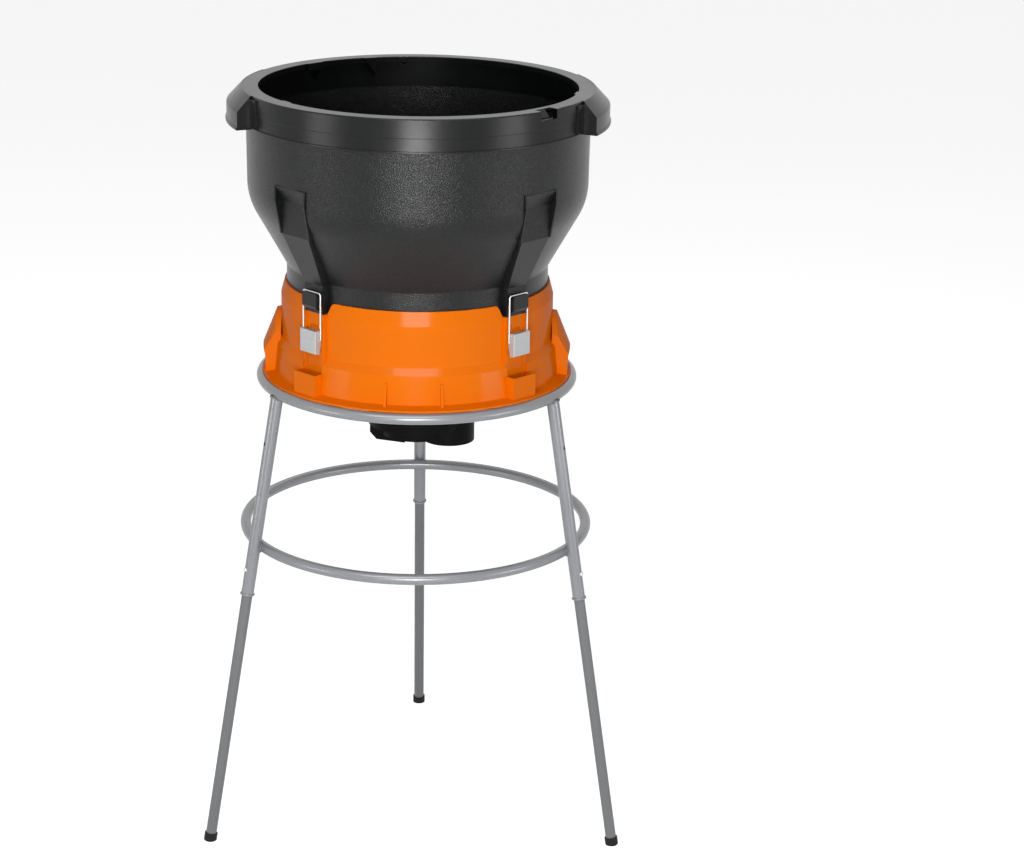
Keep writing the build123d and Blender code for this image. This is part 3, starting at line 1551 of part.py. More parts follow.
tilted = (0, cos(radians(rocker_tilt)), -sin(radians(rocker_tilt)))
rocker_plane = Plane(origin=(rocker_x, pivot_depth, rocker_z), x_dir=tilted, z_dir=(1, 0, 0))
rocker_side = [
    (rocker_pivot_inset, 0),
    (rocker_pivot_inset + rocker_bulge, rocker_height / 2),
    (0, rocker_height / 2),
    (rocker_pivot_inset - rocker_depth + rocker_play, rocker_height / 6),
    (rocker_pivot_inset - rocker_depth + rocker_play, -rocker_height / 6),
    (0, -rocker_height / 2),
    (rocker_pivot_inset + rocker_bulge, -rocker_height / 2),
]
with BuildPart() as switch_rocker:
    with BuildSketch(rocker_plane):
        with BuildLine():
            Polyline(*rocker_side, close=True)
        make_face()
    extrude(amount=rocker_width / 2, both=True)
    with BuildSketch(rocker_plane):
        Circle(rocker_pin)
    extrude(amount=rocker_width / 2 + rocker_side_play + rocker_pin_grip - fit_gap, both=True)
save(switch_rocker.part, "switch_rocker")

# Power inlet, a recessed socket with two blades and a ground pin
inlet_back = box_face - inlet_depth
blades_at = [(-blade_spacing / 2, blade_rise), (blade_spacing / 2, blade_rise)]
with BuildPart() as power_inlet:
    for width, height, depth in (
        (inlet_width + 2 * bezel, inlet_height + 2 * bezel, bezel_height),
        (inlet_width, inlet_height, -inlet_depth),
    ):
        with BuildSketch(back_plane(box_face)):
            with Locations((-inlet_x, inlet_z)):
                RectangleRounded(width, height, bezel)
        extrude(amount=depth)
    with BuildSketch(back_plane(inlet_back + 2 * inlet_wall)):
        with Locations((-inlet_x, inlet_z)):
            RectangleRounded(inlet_width - 2 * inlet_wall, inlet_height - 2 * inlet_wall, bezel)
    extrude(amount=inlet_depth, mode=Mode.SUBTRACT)
    with BuildSketch(back_plane(inlet_back + inlet_wall)):
        with Locations(*[(x - inlet_x, inlet_z + rise) for x, rise in blades_at]):
            Rectangle(blade_thickness + 2 * running_gap, blade_width + 2 * running_gap)
        with Locations((-inlet_x, inlet_z + blade_rise - ground_pin_drop)):
            Circle(ground_pin_diameter / 2 + running_gap)
    extrude(amount=inlet_wall, mode=Mode.SUBTRACT)
save(power_inlet.part, "power_inlet")

with BuildPart() as inlet_pins:
    with BuildSketch(back_plane(inlet_back + inlet_wall)):
        with Locations(*[(x - inlet_x, inlet_z + rise) for x, rise in blades_at]):
            Rectangle(blade_thickness, blade_width)
        with Locations((-inlet_x, inlet_z + blade_rise - ground_pin_drop)):
            Circle(ground_pin_diameter / 2)
    extrude(amount=blade_length)
save(inlet_pins.part, "inlet_pins")

# Overload breaker behind its reset button
collar_depth = reset_flange_thickness + reset_travel + 2 * fit_gap
with BuildPart() as breaker_body:
    with BuildSketch(back_plane(inner_face)):
        with Locations((-reset_x, reset_z)):
            Rectangle(breaker_size, breaker_size)
    extrude(amount=-collar_depth - breaker_depth)
    with BuildSketch(back_plane(inner_face)):
        with Locations((-reset_x, reset_z)):
            Circle(reset_flange_diameter / 2 + fit_gap)
    extrude(amount=-collar_depth, mode=Mode.SUBTRACT)
save(breaker_body.part, "breaker_body")

with BuildPart() as reset_button:
    with BuildSketch(back_plane(inner_face - fit_gap)):
        with Locations((-reset_x, reset_z)):
            Circle(reset_flange_diameter / 2)
    extrude(amount=-reset_flange_thickness)
    with BuildSketch(back_plane(inner_face - fit_gap)):
        with Locations((-reset_x, reset_z)):
            Circle(reset_diameter / 2)
    extrude(amount=box_wall + fit_gap + reset_reach)
    fillet(faces().sort_by(Axis.Y)[-1].edges(), reset_fillet)
save(reset_button.part, "reset_button")

with BuildPart() as box_screws:
    for x, height in box_screws_at:
        seat = post_foot(x, height) + box_screw_land
        for radius, length in (
            (screw_head_radius, screw_head_height),
            (screw_radius, -box_screw_land - box_screw_grip),
        ):
            with BuildSketch(back_plane(seat)):
                with Locations((-x, height)):
                    Circle(radius)
            extrude(amount=length)
save(box_screws.part, "box_screws")
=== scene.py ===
"""Looks of the leaf shredder: finishes, small moulded and welded detail, studio and camera.

The finishes' constants are in metres and in a shader's own units, from 0 to 1.
"""

import logging
import math
from dataclasses import dataclass
from enum import Enum

import bpy
import numpy as np
from mathutils import Matrix, Vector


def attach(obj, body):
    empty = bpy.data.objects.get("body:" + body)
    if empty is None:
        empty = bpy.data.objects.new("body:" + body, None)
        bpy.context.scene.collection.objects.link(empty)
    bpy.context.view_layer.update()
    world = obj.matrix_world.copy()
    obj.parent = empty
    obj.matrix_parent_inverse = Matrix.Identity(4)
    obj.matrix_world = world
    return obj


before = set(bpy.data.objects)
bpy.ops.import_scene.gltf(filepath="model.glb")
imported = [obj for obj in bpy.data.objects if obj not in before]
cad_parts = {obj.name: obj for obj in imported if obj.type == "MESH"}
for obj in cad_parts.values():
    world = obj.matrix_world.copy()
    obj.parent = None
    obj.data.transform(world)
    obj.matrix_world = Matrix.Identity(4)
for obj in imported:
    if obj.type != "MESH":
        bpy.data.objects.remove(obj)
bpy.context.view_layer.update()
LOG = logging.getLogger("leaf_shredder")

Colour = tuple[float, float, float]
Place = tuple[float, float, float]
Points = np.ndarray

# What all the finishes share: a height above every piece, the coat's roughness, how far the slow
# tone smooths or roughens a surface, and how many painted glints lie along one grain
NO_CEILING = 100.0
COAT_ROUGHNESS = 0.15
SMOOTHER = 0.06
ROUGHER = 0.10
GLINTS_PER_GRAIN = 1.3


def from_screen(red: int, green: int, blue: int) -> Colour:
    """Turn a colour as a screen shows it, 0 to 255, into the linear values a shader takes.

    It is the usual curve of screens: a straight start, then a power of 2.4.

    Args:
        red: Red part, 0 to 255.
        green: Green part, 0 to 255.
        blue: Blue part, 0 to 255.

    Returns:
        The linear red, green and blue.
    """
    parts = np.array([red, green, blue]) / 255.0
    linear = np.where(parts <= 0.04045, parts / 12.92, ((parts + 0.055) / 1.055) ** 2.4)
    return float(linear[0]), float(linear[1]), float(linear[2])


class Corner(Enum):
    """The four corners that carry a draw latch, by bearing in degrees from +X."""

    FRONT_LEFT = -135.0
    FRONT_RIGHT = -45.0
    BACK_RIGHT = 45.0
    BACK_LEFT = 135.0


class Leg(Enum):
    """The three legs, by bearing in degrees from +X."""

    LEFT = -150.0
    RIGHT = -30.0
    BACK = 90.0


class NodeGroups:
    """Shader node groups that more than one finish uses, each built once."""

    def __init__(self) -> None:
        """Build the groups."""
        self.grain = self._grain()
        self.painted_glints = self._painted_glints()
        self.mottle = self._mottle()
        self.scuffs = self._scuffs()

    @staticmethod
    def _new(name: str, inputs: dict[str, float], outputs: dict[str, str]) -> tuple:
        """Make an empty group with named sockets.

        Args:
            name: Name of the group.
            inputs: Names and defaults of its number inputs.
            outputs: Names and socket types of its outputs.

        Returns:
            The group's tree, its input node and its output node.
        """
        tree = bpy.data.node_groups.new(name, "ShaderNodeTree")
        for key, value in inputs.items():
            socket = tree.interface.new_socket(name=key, in_out="INPUT", socket_type="NodeSocketFloat")
            socket.default_value = value
        for key, kind in outputs.items():
            tree.interface.new_socket(name=key, in_out="OUTPUT", socket_type=kind)
        return tree, tree.nodes.new("NodeGroupInput"), tree.nodes.new("NodeGroupOutput")

    def _grain(self) -> bpy.types.NodeTree:
        """Moulded grain: rounded pebbles of uneven size, as a height from 0 to 1.

        Above the ceiling, a height in metres, the surface is smooth.
        """
        tree, source, sink = self._new(
            "moulded_grain", {"Scale": 400.0, "Ceiling": NO_CEILING}, {"Height": "NodeSocketFloat"}
        )
        place = tree.nodes.new("ShaderNodeTexCoord")
        warp = tree.nodes.new("ShaderNodeTexNoise")
        warp.inputs["Scale"].default_value = 120.0
        warp.inputs["Detail"].default_value = 1.0
        bend = tree.nodes.new("ShaderNodeMix")
        bend.data_type = "VECTOR"
        bend.inputs["Factor"].default_value = 0.004
        cells = tree.nodes.new("ShaderNodeTexVoronoi")
        cells.feature = "SMOOTH_F1"
        cells.inputs["Smoothness"].default_value = 0.6
        fine = tree.nodes.new("ShaderNodeTexNoise")
        fine.inputs["Detail"].default_value = 2.0
        blend = tree.nodes.new("ShaderNodeMath")
        blend.operation = "MULTIPLY_ADD"
        blend.inputs[1].default_value = 0.5
        tree.links.new(place.outputs["Object"], warp.inputs["Vector"])
        tree.links.new(place.outputs["Object"], bend.inputs["A"])
        tree.links.new(warp.outputs["Color"], bend.inputs["B"])
        tree.links.new(bend.outputs["Result"], cells.inputs["Vector"])
        tree.links.new(place.outputs["Object"], fine.inputs["Vector"])
        tree.links.new(source.outputs["Scale"], cells.inputs["Scale"])
        tree.links.new(source.outputs["Scale"], fine.inputs["Scale"])
        tree.links.new(fine.outputs["Fac"], blend.inputs[0])
        tree.links.new(cells.outputs["Distance"], blend.inputs[2])
        below = self._below(tree, place, source)
        held = tree.nodes.new("ShaderNodeMath")
        held.operation = "MULTIPLY"
        tree.links.new(blend.outputs["Value"], held.inputs[0])
        tree.links.new(below, held.inputs[1])
        tree.links.new(held.outputs["Value"], sink.inputs["Height"])
        return tree

    @staticmethod
    def _below(
        tree: bpy.types.NodeTree, place: bpy.types.Node, source: bpy.types.Node
    ) -> bpy.types.NodeSocket:
        """A mask that is 1 below the group's ceiling and 0 above it.

        Args:
            tree: The group's tree.
            place: Its texture coordinates.
            source: Its input node, with a Ceiling.

        Returns:
            The mask's socket.
        """
        split = tree.nodes.new("ShaderNodeSeparateXYZ")
        under = tree.nodes.new("ShaderNodeMath")
        under.operation = "LESS_THAN"
        tree.links.new(place.outputs["Object"], split.inputs["Vector"])
        tree.links.new(split.outputs["Z"], under.inputs[0])
        tree.links.new(source.outputs["Ceiling"], under.inputs[1])
        return under.outputs["Value"]

    def _painted_glints(self) -> bpy.types.NodeTree:
        """Painted glints: fine bright specks of painted highlight where the tips of the grain would catch
        light, as a mask below a ceiling.
        """
        tree, source, sink = self._new(
            "painted_glints", {"Scale": 600.0, "Ceiling": NO_CEILING, "Amount": 0.5}, {"Mask": "NodeSocketFloat"}
        )
        place = tree.nodes.new("ShaderNodeTexCoord")
        dust = tree.nodes.new("ShaderNodeTexNoise")
        dust.inputs["Detail"].default_value = 2.0
        dust.inputs["Roughness"].default_value = 0.75
        ramp = tree.nodes.new("ShaderNodeMapRange")
        ramp.inputs["From Min"].default_value = 0.42
        ramp.inputs["From Max"].default_value = 0.72
        held = tree.nodes.new("ShaderNodeMath")
        held.operation = "MULTIPLY"
        scaled = tree.nodes.new("ShaderNodeMath")
        scaled.operation = "MULTIPLY"
        tree.links.new(place.outputs["Object"], dust.inputs["Vector"])
        tree.links.new(source.outputs["Scale"], dust.inputs["Scale"])
        tree.links.new(dust.outputs["Fac"], ramp.inputs["Value"])
        tree.links.new(ramp.outputs["Result"], held.inputs[0])
        tree.links.new(self._below(tree, place, source), held.inputs[1])
        tree.links.new(held.outputs["Value"], scaled.inputs[0])
        tree.links.new(source.outputs["Amount"], scaled.inputs[1])
        tree.links.new(scaled.outputs["Value"], sink.inputs["Mask"])
        return tree

    def _mottle(self) -> bpy.types.NodeTree:
        """Slow uneven tone over a surface, as a mask round one half."""
        tree, source, sink = self._new("mottle", {"Scale": 9.0}, {"Mask": "NodeSocketFloat"})
        place = tree.nodes.new("ShaderNodeTexCoord")
        cloud = tree.nodes.new("ShaderNodeTexNoise")
        cloud.inputs["Detail"].default_value = 5.0
        cloud.inputs["Roughness"].default_value = 0.6
        tree.links.new(place.outputs["Object"], cloud.inputs["Vector"])
        tree.links.new(source.outputs["Scale"], cloud.inputs["Scale"])
        tree.links.new(cloud.outputs["Fac"], sink.inputs["Mask"])
        return tree

    def _scuffs(self) -> bpy.types.NodeTree:
        """Fine hairline scuffs, a mask of thin stretched streaks that is mostly 0."""
        tree, source, sink = self._new(
            "scuffs", {"Scale": 30.0, "Amount": 0.5}, {"Mask": "NodeSocketFloat"}
        )
        place = tree.nodes.new("ShaderNodeTexCoord")
        turn = tree.nodes.new("ShaderNodeMapping")
        turn.inputs["Rotation"].default_value = (0.6, 0.4, 0.8)
        turn.inputs["Scale"].default_value = (1.0, 1.0, 9.0)
        streak = tree.nodes.new("ShaderNodeTexNoise")
        streak.inputs["Detail"].default_value = 6.0
        streak.inputs["Roughness"].default_value = 0.7
        ramp = tree.nodes.new("ShaderNodeMapRange")
        ramp.inputs["From Min"].default_value = 0.60
        ramp.inputs["From Max"].default_value = 0.78
        scaled = tree.nodes.new("ShaderNodeMath")
        scaled.operation = "MULTIPLY"
        tree.links.new(place.outputs["Object"], turn.inputs["Vector"])
        tree.links.new(turn.outputs["Vector"], streak.inputs["Vector"])
        tree.links.new(source.outputs["Scale"], streak.inputs["Scale"])
        tree.links.new(streak.outputs["Fac"], ramp.inputs["Value"])
        tree.links.new(ramp.outputs["Result"], scaled.inputs[0])
        tree.links.new(source.outputs["Amount"], scaled.inputs[1])
        tree.links.new(scaled.outputs["Value"], sink.inputs["Mask"])
        return tree


@dataclass(frozen=True)
class Finish:
    """One finish of the machine, in real terms.

    Attributes:
        name: Plain name of the finish.
        colour: Linear base colour.
        pale: Linear colour in its lighter patches, its scuffs and its painted glints.
        rough: Roughness of the bare surface.
        metal: 1 for bare metal, less for metallic paint.
        specular: Strength of its plain reflection, 0.5 for an ordinary plastic.
        coat: Strength of a clear coat.
        grain: Grains per metre, 0 for none.
        depth: Height of the grain in metres.
        mottle: How far the slow tone changes the colour, 0 to 1.
        scuff: How strongly fine scuffs show.
        painted_glint: How strongly painted glints, bright specks of painted highlight, show on the grain.
        ceiling: Height above which the grain and its painted glints stop, in metres.
    """

    name: str
    colour: Colour
    pale: Colour
    rough: float = 0.5
    metal: float = 0.0
    specular: float = 0.5
    coat: float = 0.0
    grain: float = 0.0
    depth: float = 0.00005
    mottle: float = 0.3
    scuff: float = 0.3
    painted_glint: float = 0.0
    ceiling: float = NO_CEILING

    def material(self, groups: NodeGroups) -> bpy.types.Material:
        """Make the finish's material.

        Args:
            groups: The shared node groups.

        Returns:
            The new material.
        """
        made = bpy.data.materials.new(self.name)
        made.use_nodes = True
        tree = made.node_tree
        shader = tree.nodes["Principled BSDF"]
        shader.inputs["Metallic"].default_value = self.metal
        shader.inputs["Specular IOR Level"].default_value = self.specular
        shader.inputs["Coat Weight"].default_value = self.coat
        shader.inputs["Coat Roughness"].default_value = COAT_ROUGHNESS

        mottle = tree.nodes.new("ShaderNodeGroup")
        mottle.node_tree = groups.mottle
        scuffs = tree.nodes.new("ShaderNodeGroup")
        scuffs.node_tree = groups.scuffs
        scuffs.inputs["Amount"].default_value = self.scuff
        share = tree.nodes.new("ShaderNodeMath")
        share.operation = "MULTIPLY_ADD"
        share.inputs[1].default_value = self.mottle
        colours = tree.nodes.new("ShaderNodeMix")
        colours.data_type = "RGBA"
        colours.inputs["A"].default_value = (*self.colour, 1.0)
        colours.inputs["B"].default_value = (*self.pale, 1.0)
        tree.links.new(mottle.outputs["Mask"], share.inputs[0])
        scuffs_and_glints = scuffs.outputs["Mask"]
        # Painted glints: bright specks of painted highlight on the grain, added to the scuffs' mask that
        # mixes in the pale colour.
        if self.painted_glint > 0:
            painted_glints = tree.nodes.new("ShaderNodeGroup")
            painted_glints.node_tree = groups.painted_glints
            painted_glints.inputs["Scale"].default_value = self.grain * GLINTS_PER_GRAIN
            painted_glints.inputs["Amount"].default_value = self.painted_glint
            painted_glints.inputs["Ceiling"].default_value = self.ceiling
            both = tree.nodes.new("ShaderNodeMath")
            tree.links.new(scuffs_and_glints, both.inputs[0])
            tree.links.new(painted_glints.outputs["Mask"], both.inputs[1])
            scuffs_and_glints = both.outputs["Value"]
        tree.links.new(scuffs_and_glints, share.inputs[2])
        tree.links.new(share.outputs["Value"], colours.inputs["Factor"])
        tree.links.new(colours.outputs["Result"], shader.inputs["Base Color"])

        rough = tree.nodes.new("ShaderNodeMapRange")
        rough.inputs["To Min"].default_value = self.rough - SMOOTHER
        rough.inputs["To Max"].default_value = self.rough + ROUGHER
        tree.links.new(mottle.outputs["Mask"], rough.inputs["Value"])
        tree.links.new(rough.outputs["Result"], shader.inputs["Roughness"])

        if self.grain > 0:
            grain = tree.nodes.new("ShaderNodeGroup")
            grain.node_tree = groups.grain
            grain.inputs["Scale"].default_value = self.grain
            grain.inputs["Ceiling"].default_value = self.ceiling
            bump = tree.nodes.new("ShaderNodeBump")
            bump.inputs["Distance"].default_value = self.depth
            tree.links.new(grain.outputs["Height"], bump.inputs["Height"])
            tree.links.new(bump.outputs["Normal"], shader.inputs["Normal"])
        return made


FINISHES = {
    # The hopper's painted glints put painted highlight on the tips of its grain, in its pale colour.
    "hopper_black": Finish("hopper_black", from_screen(2, 3, 4), from_screen(84, 85, 87),
                           rough=0.28, specular=0.28, grain=560.0, depth=0.0004, mottle=0.02, scuff=0.04,
                           painted_glint=0.2, ceiling=1.2725),
    "smooth_black": Finish("smooth_black", from_screen(9, 8, 8), from_screen(22, 22, 23),
                           rough=0.45, specular=0.06, grain=900.0, depth=0.00008),
    "housing_orange": Finish("housing_orange", from_screen(226, 108, 2), from_screen(234, 121, 5),
                             rough=0.45, specular=0.0, coat=0.2, grain=1200.0, depth=0.00002,
                             mottle=0.35, scuff=0.10),
    "tube_paint": Finish("tube_paint", from_screen(134, 136, 139), from_screen(166, 168, 171),
                         rough=0.28, metal=0.3, grain=1500.0, depth=0.00003),
    # The lower legs' tube paint is darkened as painted shade, for light that falls off towards the floor.
    "lower_tube_painted_shade": Finish("lower_tube_painted_shade", from_screen(108, 110, 112), from_screen(136, 138, 140),
                               rough=0.32, metal=0.3, grain=1500.0, depth=0.00003),
    "weld_steel": Finish("weld_steel", from_screen(112, 113, 114), from_screen(150, 151, 152),
                         rough=0.42, metal=0.6, grain=900.0, depth=0.00006),
    "lever_grey": Finish("lever_grey", from_screen(180, 182, 184), from_screen(204, 205, 207),
                         rough=0.34, metal=0.3, grain=1400.0, depth=0.00003),
    "bright_steel": Finish("bright_steel", from_screen(214, 215, 217), from_screen(236, 237, 238),
                           rough=0.34, metal=0.75, mottle=0.4),
    "zinc_steel": Finish("zinc_steel", from_screen(176, 178, 176), from_screen(212, 212, 206),
                         rough=0.34, metal=1.0, mottle=0.6),
    "core_steel": Finish("core_steel", from_screen(92, 94, 98), from_screen(140, 140, 142),
                         rough=0.42, metal=1.0),
    "copper": Finish("copper", from_screen(176, 92, 48), from_screen(214, 134, 82), rough=0.3, metal=1.0),
    "brass": Finish("brass", from_screen(196, 158, 84), from_screen(226, 198, 130), rough=0.3, metal=1.0),
    "carbon": Finish("carbon", from_screen(38, 38, 40), from_screen(62, 62, 64), rough=0.55),
    "disc_aluminium": Finish("disc_aluminium", from_screen(176, 178, 180), from_screen(214, 215, 217),
                             rough=0.32, metal=1.0, mottle=0.5),
    "nylon_line": Finish("nylon_line", from_screen(225, 98, 20), from_screen(240, 140, 60),
                         rough=0.3, coat=0.2),
    "foot_rubber": Finish("foot_rubber", from_screen(14, 14, 14), from_screen(34, 34, 33),
                          rough=0.72, specular=0.3, grain=1000.0, depth=0.00008),
    "switch_gloss": Finish("switch_gloss", from_screen(14, 14, 15), from_screen(30, 30, 31),
                           rough=0.2, coat=0.5),
    "reset_red": Finish("reset_red", from_screen(176, 26, 20), from_screen(200, 50, 40),
                        rough=0.26, coat=0.4),
    "fan_grey": Finish("fan_grey", from_screen(70, 71, 73), from_screen(96, 96, 98), rough=0.5),
}

NODE_FINISH = {
    "top_ring": "tube_paint", "lower_hoop": "tube_paint", "upper_leg": "tube_paint",
    # The lower legs wear the tube paint darkened as painted shade.
    "lower_leg": "lower_tube_painted_shade", "foot": "foot_rubber",
    "snap_button": "bright_steel", "snap_spring": "core_steel",
    "base_housing": "housing_orange", "hopper": "hopper_black",
    "latch_plates": "bright_steel", "latch_pins": "bright_steel", "latch_rivets": "bright_steel",
    "latch_lever": "lever_grey", "latch_bail": "bright_steel",
    "motor_bridge": "smooth_black", "motor_cover": "smooth_black", "bridge_screws": "zinc_steel",
    "cover_screws": "zinc_steel", "motor_shaft": "bright_steel", "upper_bearing": "bright_steel",
    "lower_bearing": "bright_steel", "shaft_seal": "foot_rubber", "field_core": "core_steel",
    "field_windings": "copper", "armature_core": "core_steel", "armature_windings": "copper",
    "commutator": "copper", "carbon_brushes": "carbon", "brush_holders": "brass",
    "brush_springs": "core_steel", "cooling_fan": "fan_grey", "cutter_disc": "disc_aluminium",
    "cutter_cap": "smooth_black", "cutting_lines": "nylon_line", "cutter_washer": "zinc_steel",
    "cutter_nut": "zinc_steel", "switch_box": "smooth_black", "switch_module": "smooth_black",
    "switch_rocker": "switch_gloss", "power_inlet": "smooth_black", "inlet_pins": "brass",
    "breaker_body": "smooth_black", "reset_button": "reset_red", "box_screws": "zinc_steel",
}


class Wardrobe:
    """The finishes as materials, and the rule for which CAD node wears which."""

    def __init__(self) -> None:
        """Build every material once."""
        self.groups = NodeGroups()
        self.materials = {name: finish.material(self.groups) for name, finish in FINISHES.items()}

    def dress_nodes(self) -> None:
        """Put its finish on every CAD node, by the longest matching start of its name."""
        for name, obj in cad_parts.items():
            key = max((k for k in NODE_FINISH if name.startswith(k)), key=len)
            for slot in obj.material_slots:
                slot.material = self.materials[NODE_FINISH[key]]
            LOG.info("%s wears %s", name, NODE_FINISH[key])


class Surfaces:
    """Turns grids of points into meshes and registers them as pieces of the machine."""

    def __init__(self, wardrobe: "Wardrobe") -> None:
        """Keep the materials at hand.

        Args:
            wardrobe: The finishes as materials.
        """
        self.wardrobe = wardrobe

    def add(
        self, name: str, grid: Points, finish: str, body: str, wrap: tuple[bool, bool] = (True, True)
    ) -> None:
        """Make a piece from one or more grids of points and let it ride on a body.

        Args:
            name: Name of the piece.
            grid: Points as (rows, columns, 3), or (copies, rows, columns, 3) for several alike.
            finish: Name of its finish.
            body: The body that it rides on.
            wrap: Whether the last row joins the first, and the last column the first.
        """
        copies = grid if grid.ndim == 4 else grid[None]
        count, rows, columns, _ = copies.shape
        row = np.arange(rows if wrap[0] else rows - 1)
        column = np.arange(columns if wrap[1] else columns - 1)
        here, there = np.meshgrid(row, column, indexing="ij")
        below, beside = (here + 1) % rows, (there + 1) % columns
        quads = np.stack([here * columns + there, here * columns + beside,
                          below * columns + beside, below * columns + there], axis=-1).reshape(-1, 4)
        starts = np.arange(count)[:, None, None] * rows * columns
        faces = (quads[None] + starts).reshape(-1, 4)
        mesh = bpy.data.meshes.new(name)
        mesh.vertices.add(count * rows * columns)
        mesh.vertices.foreach_set("co", copies.reshape(-1).astype(np.float32))
        mesh.loops.add(faces.size)
        mesh.loops.foreach_set("vertex_index", faces.reshape(-1).astype(np.int32))
        mesh.polygons.add(len(faces))
        mesh.polygons.foreach_set("loop_start", np.arange(0, faces.size, 4, dtype=np.int32))
        mesh.polygons.foreach_set("use_smooth", np.ones(len(faces), dtype=bool))
        mesh.update(calc_edges=True)
        mesh.validate()
        mesh.materials.append(self.wardrobe.materials[finish])
        piece = bpy.data.objects.new(name, mesh)
        bpy.context.scene.collection.objects.link(piece)
        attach(piece, body)
        LOG.info("%s: %d faces on %s", name, len(faces), body)


def tube_along(path: Points, radius: Points, sides: int = 16) -> Points:
    """Skin a closed path with a round tube: at each point a circle square to the path.

    The circle's two directions come from the path's tangent and its cross product with the way
    out from the path's own centre.

    Args:
        path: Points of the closed path, (n, 3).
        radius: Tube radius at each point, (n,).
        sides: Points round the tube.

    Returns:
        Grid of points (n, sides, 3), wrapped both ways.
    """
    tangent = np.roll(path, -1, axis=0) - np.roll(path, 1, axis=0)
    tangent /= np.linalg.norm(tangent, axis=1, keepdims=True)
    outward = path - path.mean(axis=0)
    outward -= (outward * tangent).sum(axis=1, keepdims=True) * tangent
    outward /= np.linalg.norm(outward, axis=1, keepdims=True)
    third = np.cross(tangent, outward)
    angle = np.linspace(0.0, 2 * np.pi, sides, endpoint=False)
    ring = np.cos(angle)[None, :, None] * outward[:, None] + np.sin(angle)[None, :, None] * third[:, None]
    return path[:, None] + radius[:, None, None] * ring


def turned(points: Points, bearing: float) -> Points:
    """Turn points about the upright axis.

    Args:
        points: Any array whose last axis is x, y, z.
        bearing: Angle in degrees.

    Returns:
        The turned points.
    """
    c, s = math.cos(math.radians(bearing)), math.sin(math.radians(bearing))
    return points @ np.array([[c, s, 0.0], [-s, c, 0.0], [0.0, 0.0, 1.0]])


@dataclass
class Welds:
    """Weld beads where the ring and the hoop meet the legs.

    Attributes:
        ring_radius: Radius of the top ring's centreline, in metres.
        ring_height: Height of the top ring's centreline.
        hoop_radius: Radius of the hoop's centreline.
        hoop_height: Height of the hoop's centreline.
        tube: Radius of the ring's and the hoop's tube.
        leg: Radius of the leg's tube.
        lean: Run of a leg per unit of drop.
        bead: Radius of the bead.
        cope: How far below the ring's centre a leg's end stands.
        ripples: Ripples round a bead.
        ripple_share: Height of a ripple as a share of the bead's radius.
        swell_share: Height of the slow swell along a bead, as a share of its radius.
        closing: Share of the widest angle on a leg that the hoop's bead runs to.
        points: Points along a bead.
    """

    ring_radius: float = 0.273
    ring_height: float = 0.815
    hoop_radius: float = 0.305
    hoop_height: float = 0.540
    tube: float = 0.0095
    leg: float = 0.011
    lean: float = 0.142 / 0.815
    bead: float = 0.0017
    cope: float = 0.00475
    ripples: int = 26
    ripple_share: float = 0.16
    swell_share: float = 0.10
    closing: float = 0.999
    points: int = 160

    def build(self, surfaces: Surfaces) -> None:
        """Make the two sets of beads.

        Args:
            surfaces: Where the pieces are made.
        """
        around = np.linspace(0.0, 2 * np.pi, self.points, endpoint=False)
        ripple = self.ripple_share * np.sin(around * self.ripples)
        swell = self.swell_share * np.sin(around * 3 + 1.0)
        paths = {"ring_welds": self._under_ring(around), "hoop_welds": self._round_hoop(around)}
        for name, path in paths.items():
            bead = tube_along(path, self.bead * (1.0 + ripple + swell))
            copies = np.stack([turned(bead, leg.value) for leg in Leg])
            surfaces.add(name, copies, "weld_steel", "frame")

    def _under_ring(self, around: Points) -> Points:
        """Path where a leg's wall runs into the ring's underside.

        The leg's wall at an angle stands u outwards of the ring's centreline, and the ring's
        surface there is the root of tube squared less u squared below its centre.
        """
        u = self.leg * np.cos(around)
        drop = np.maximum(np.sqrt(np.maximum(self.tube**2 - u**2, 0.0)), self.cope)
        radial = self.ring_radius + u + drop * self.lean
        return np.stack([radial, self.leg * np.sin(around), self.ring_height - drop], axis=1)

    def _round_hoop(self, around: Points) -> Points:
        """Path where the hoop's tube runs into the inner side of a leg.

        A point on the leg's wall at angle a from the machine's axis stands u outwards of the hoop's
        centreline, and the hoop's surface is the root of tube squared less u squared above or below.
        """
        gap = self.ring_radius + (self.ring_height - self.hoop_height) * self.lean - self.hoop_radius
        widest = math.acos((gap - self.tube) / self.leg) * self.closing
        a = widest * np.sin(around)
        u = np.minimum(gap - self.leg * np.cos(a), self.tube)
        rise = np.sign(np.cos(around)) * np.sqrt(np.maximum(self.tube**2 - u**2, 0.0))
        radial = self.hoop_radius + u - rise * self.lean
        return np.stack([radial, self.leg * np.sin(a), self.hoop_height + rise], axis=1)


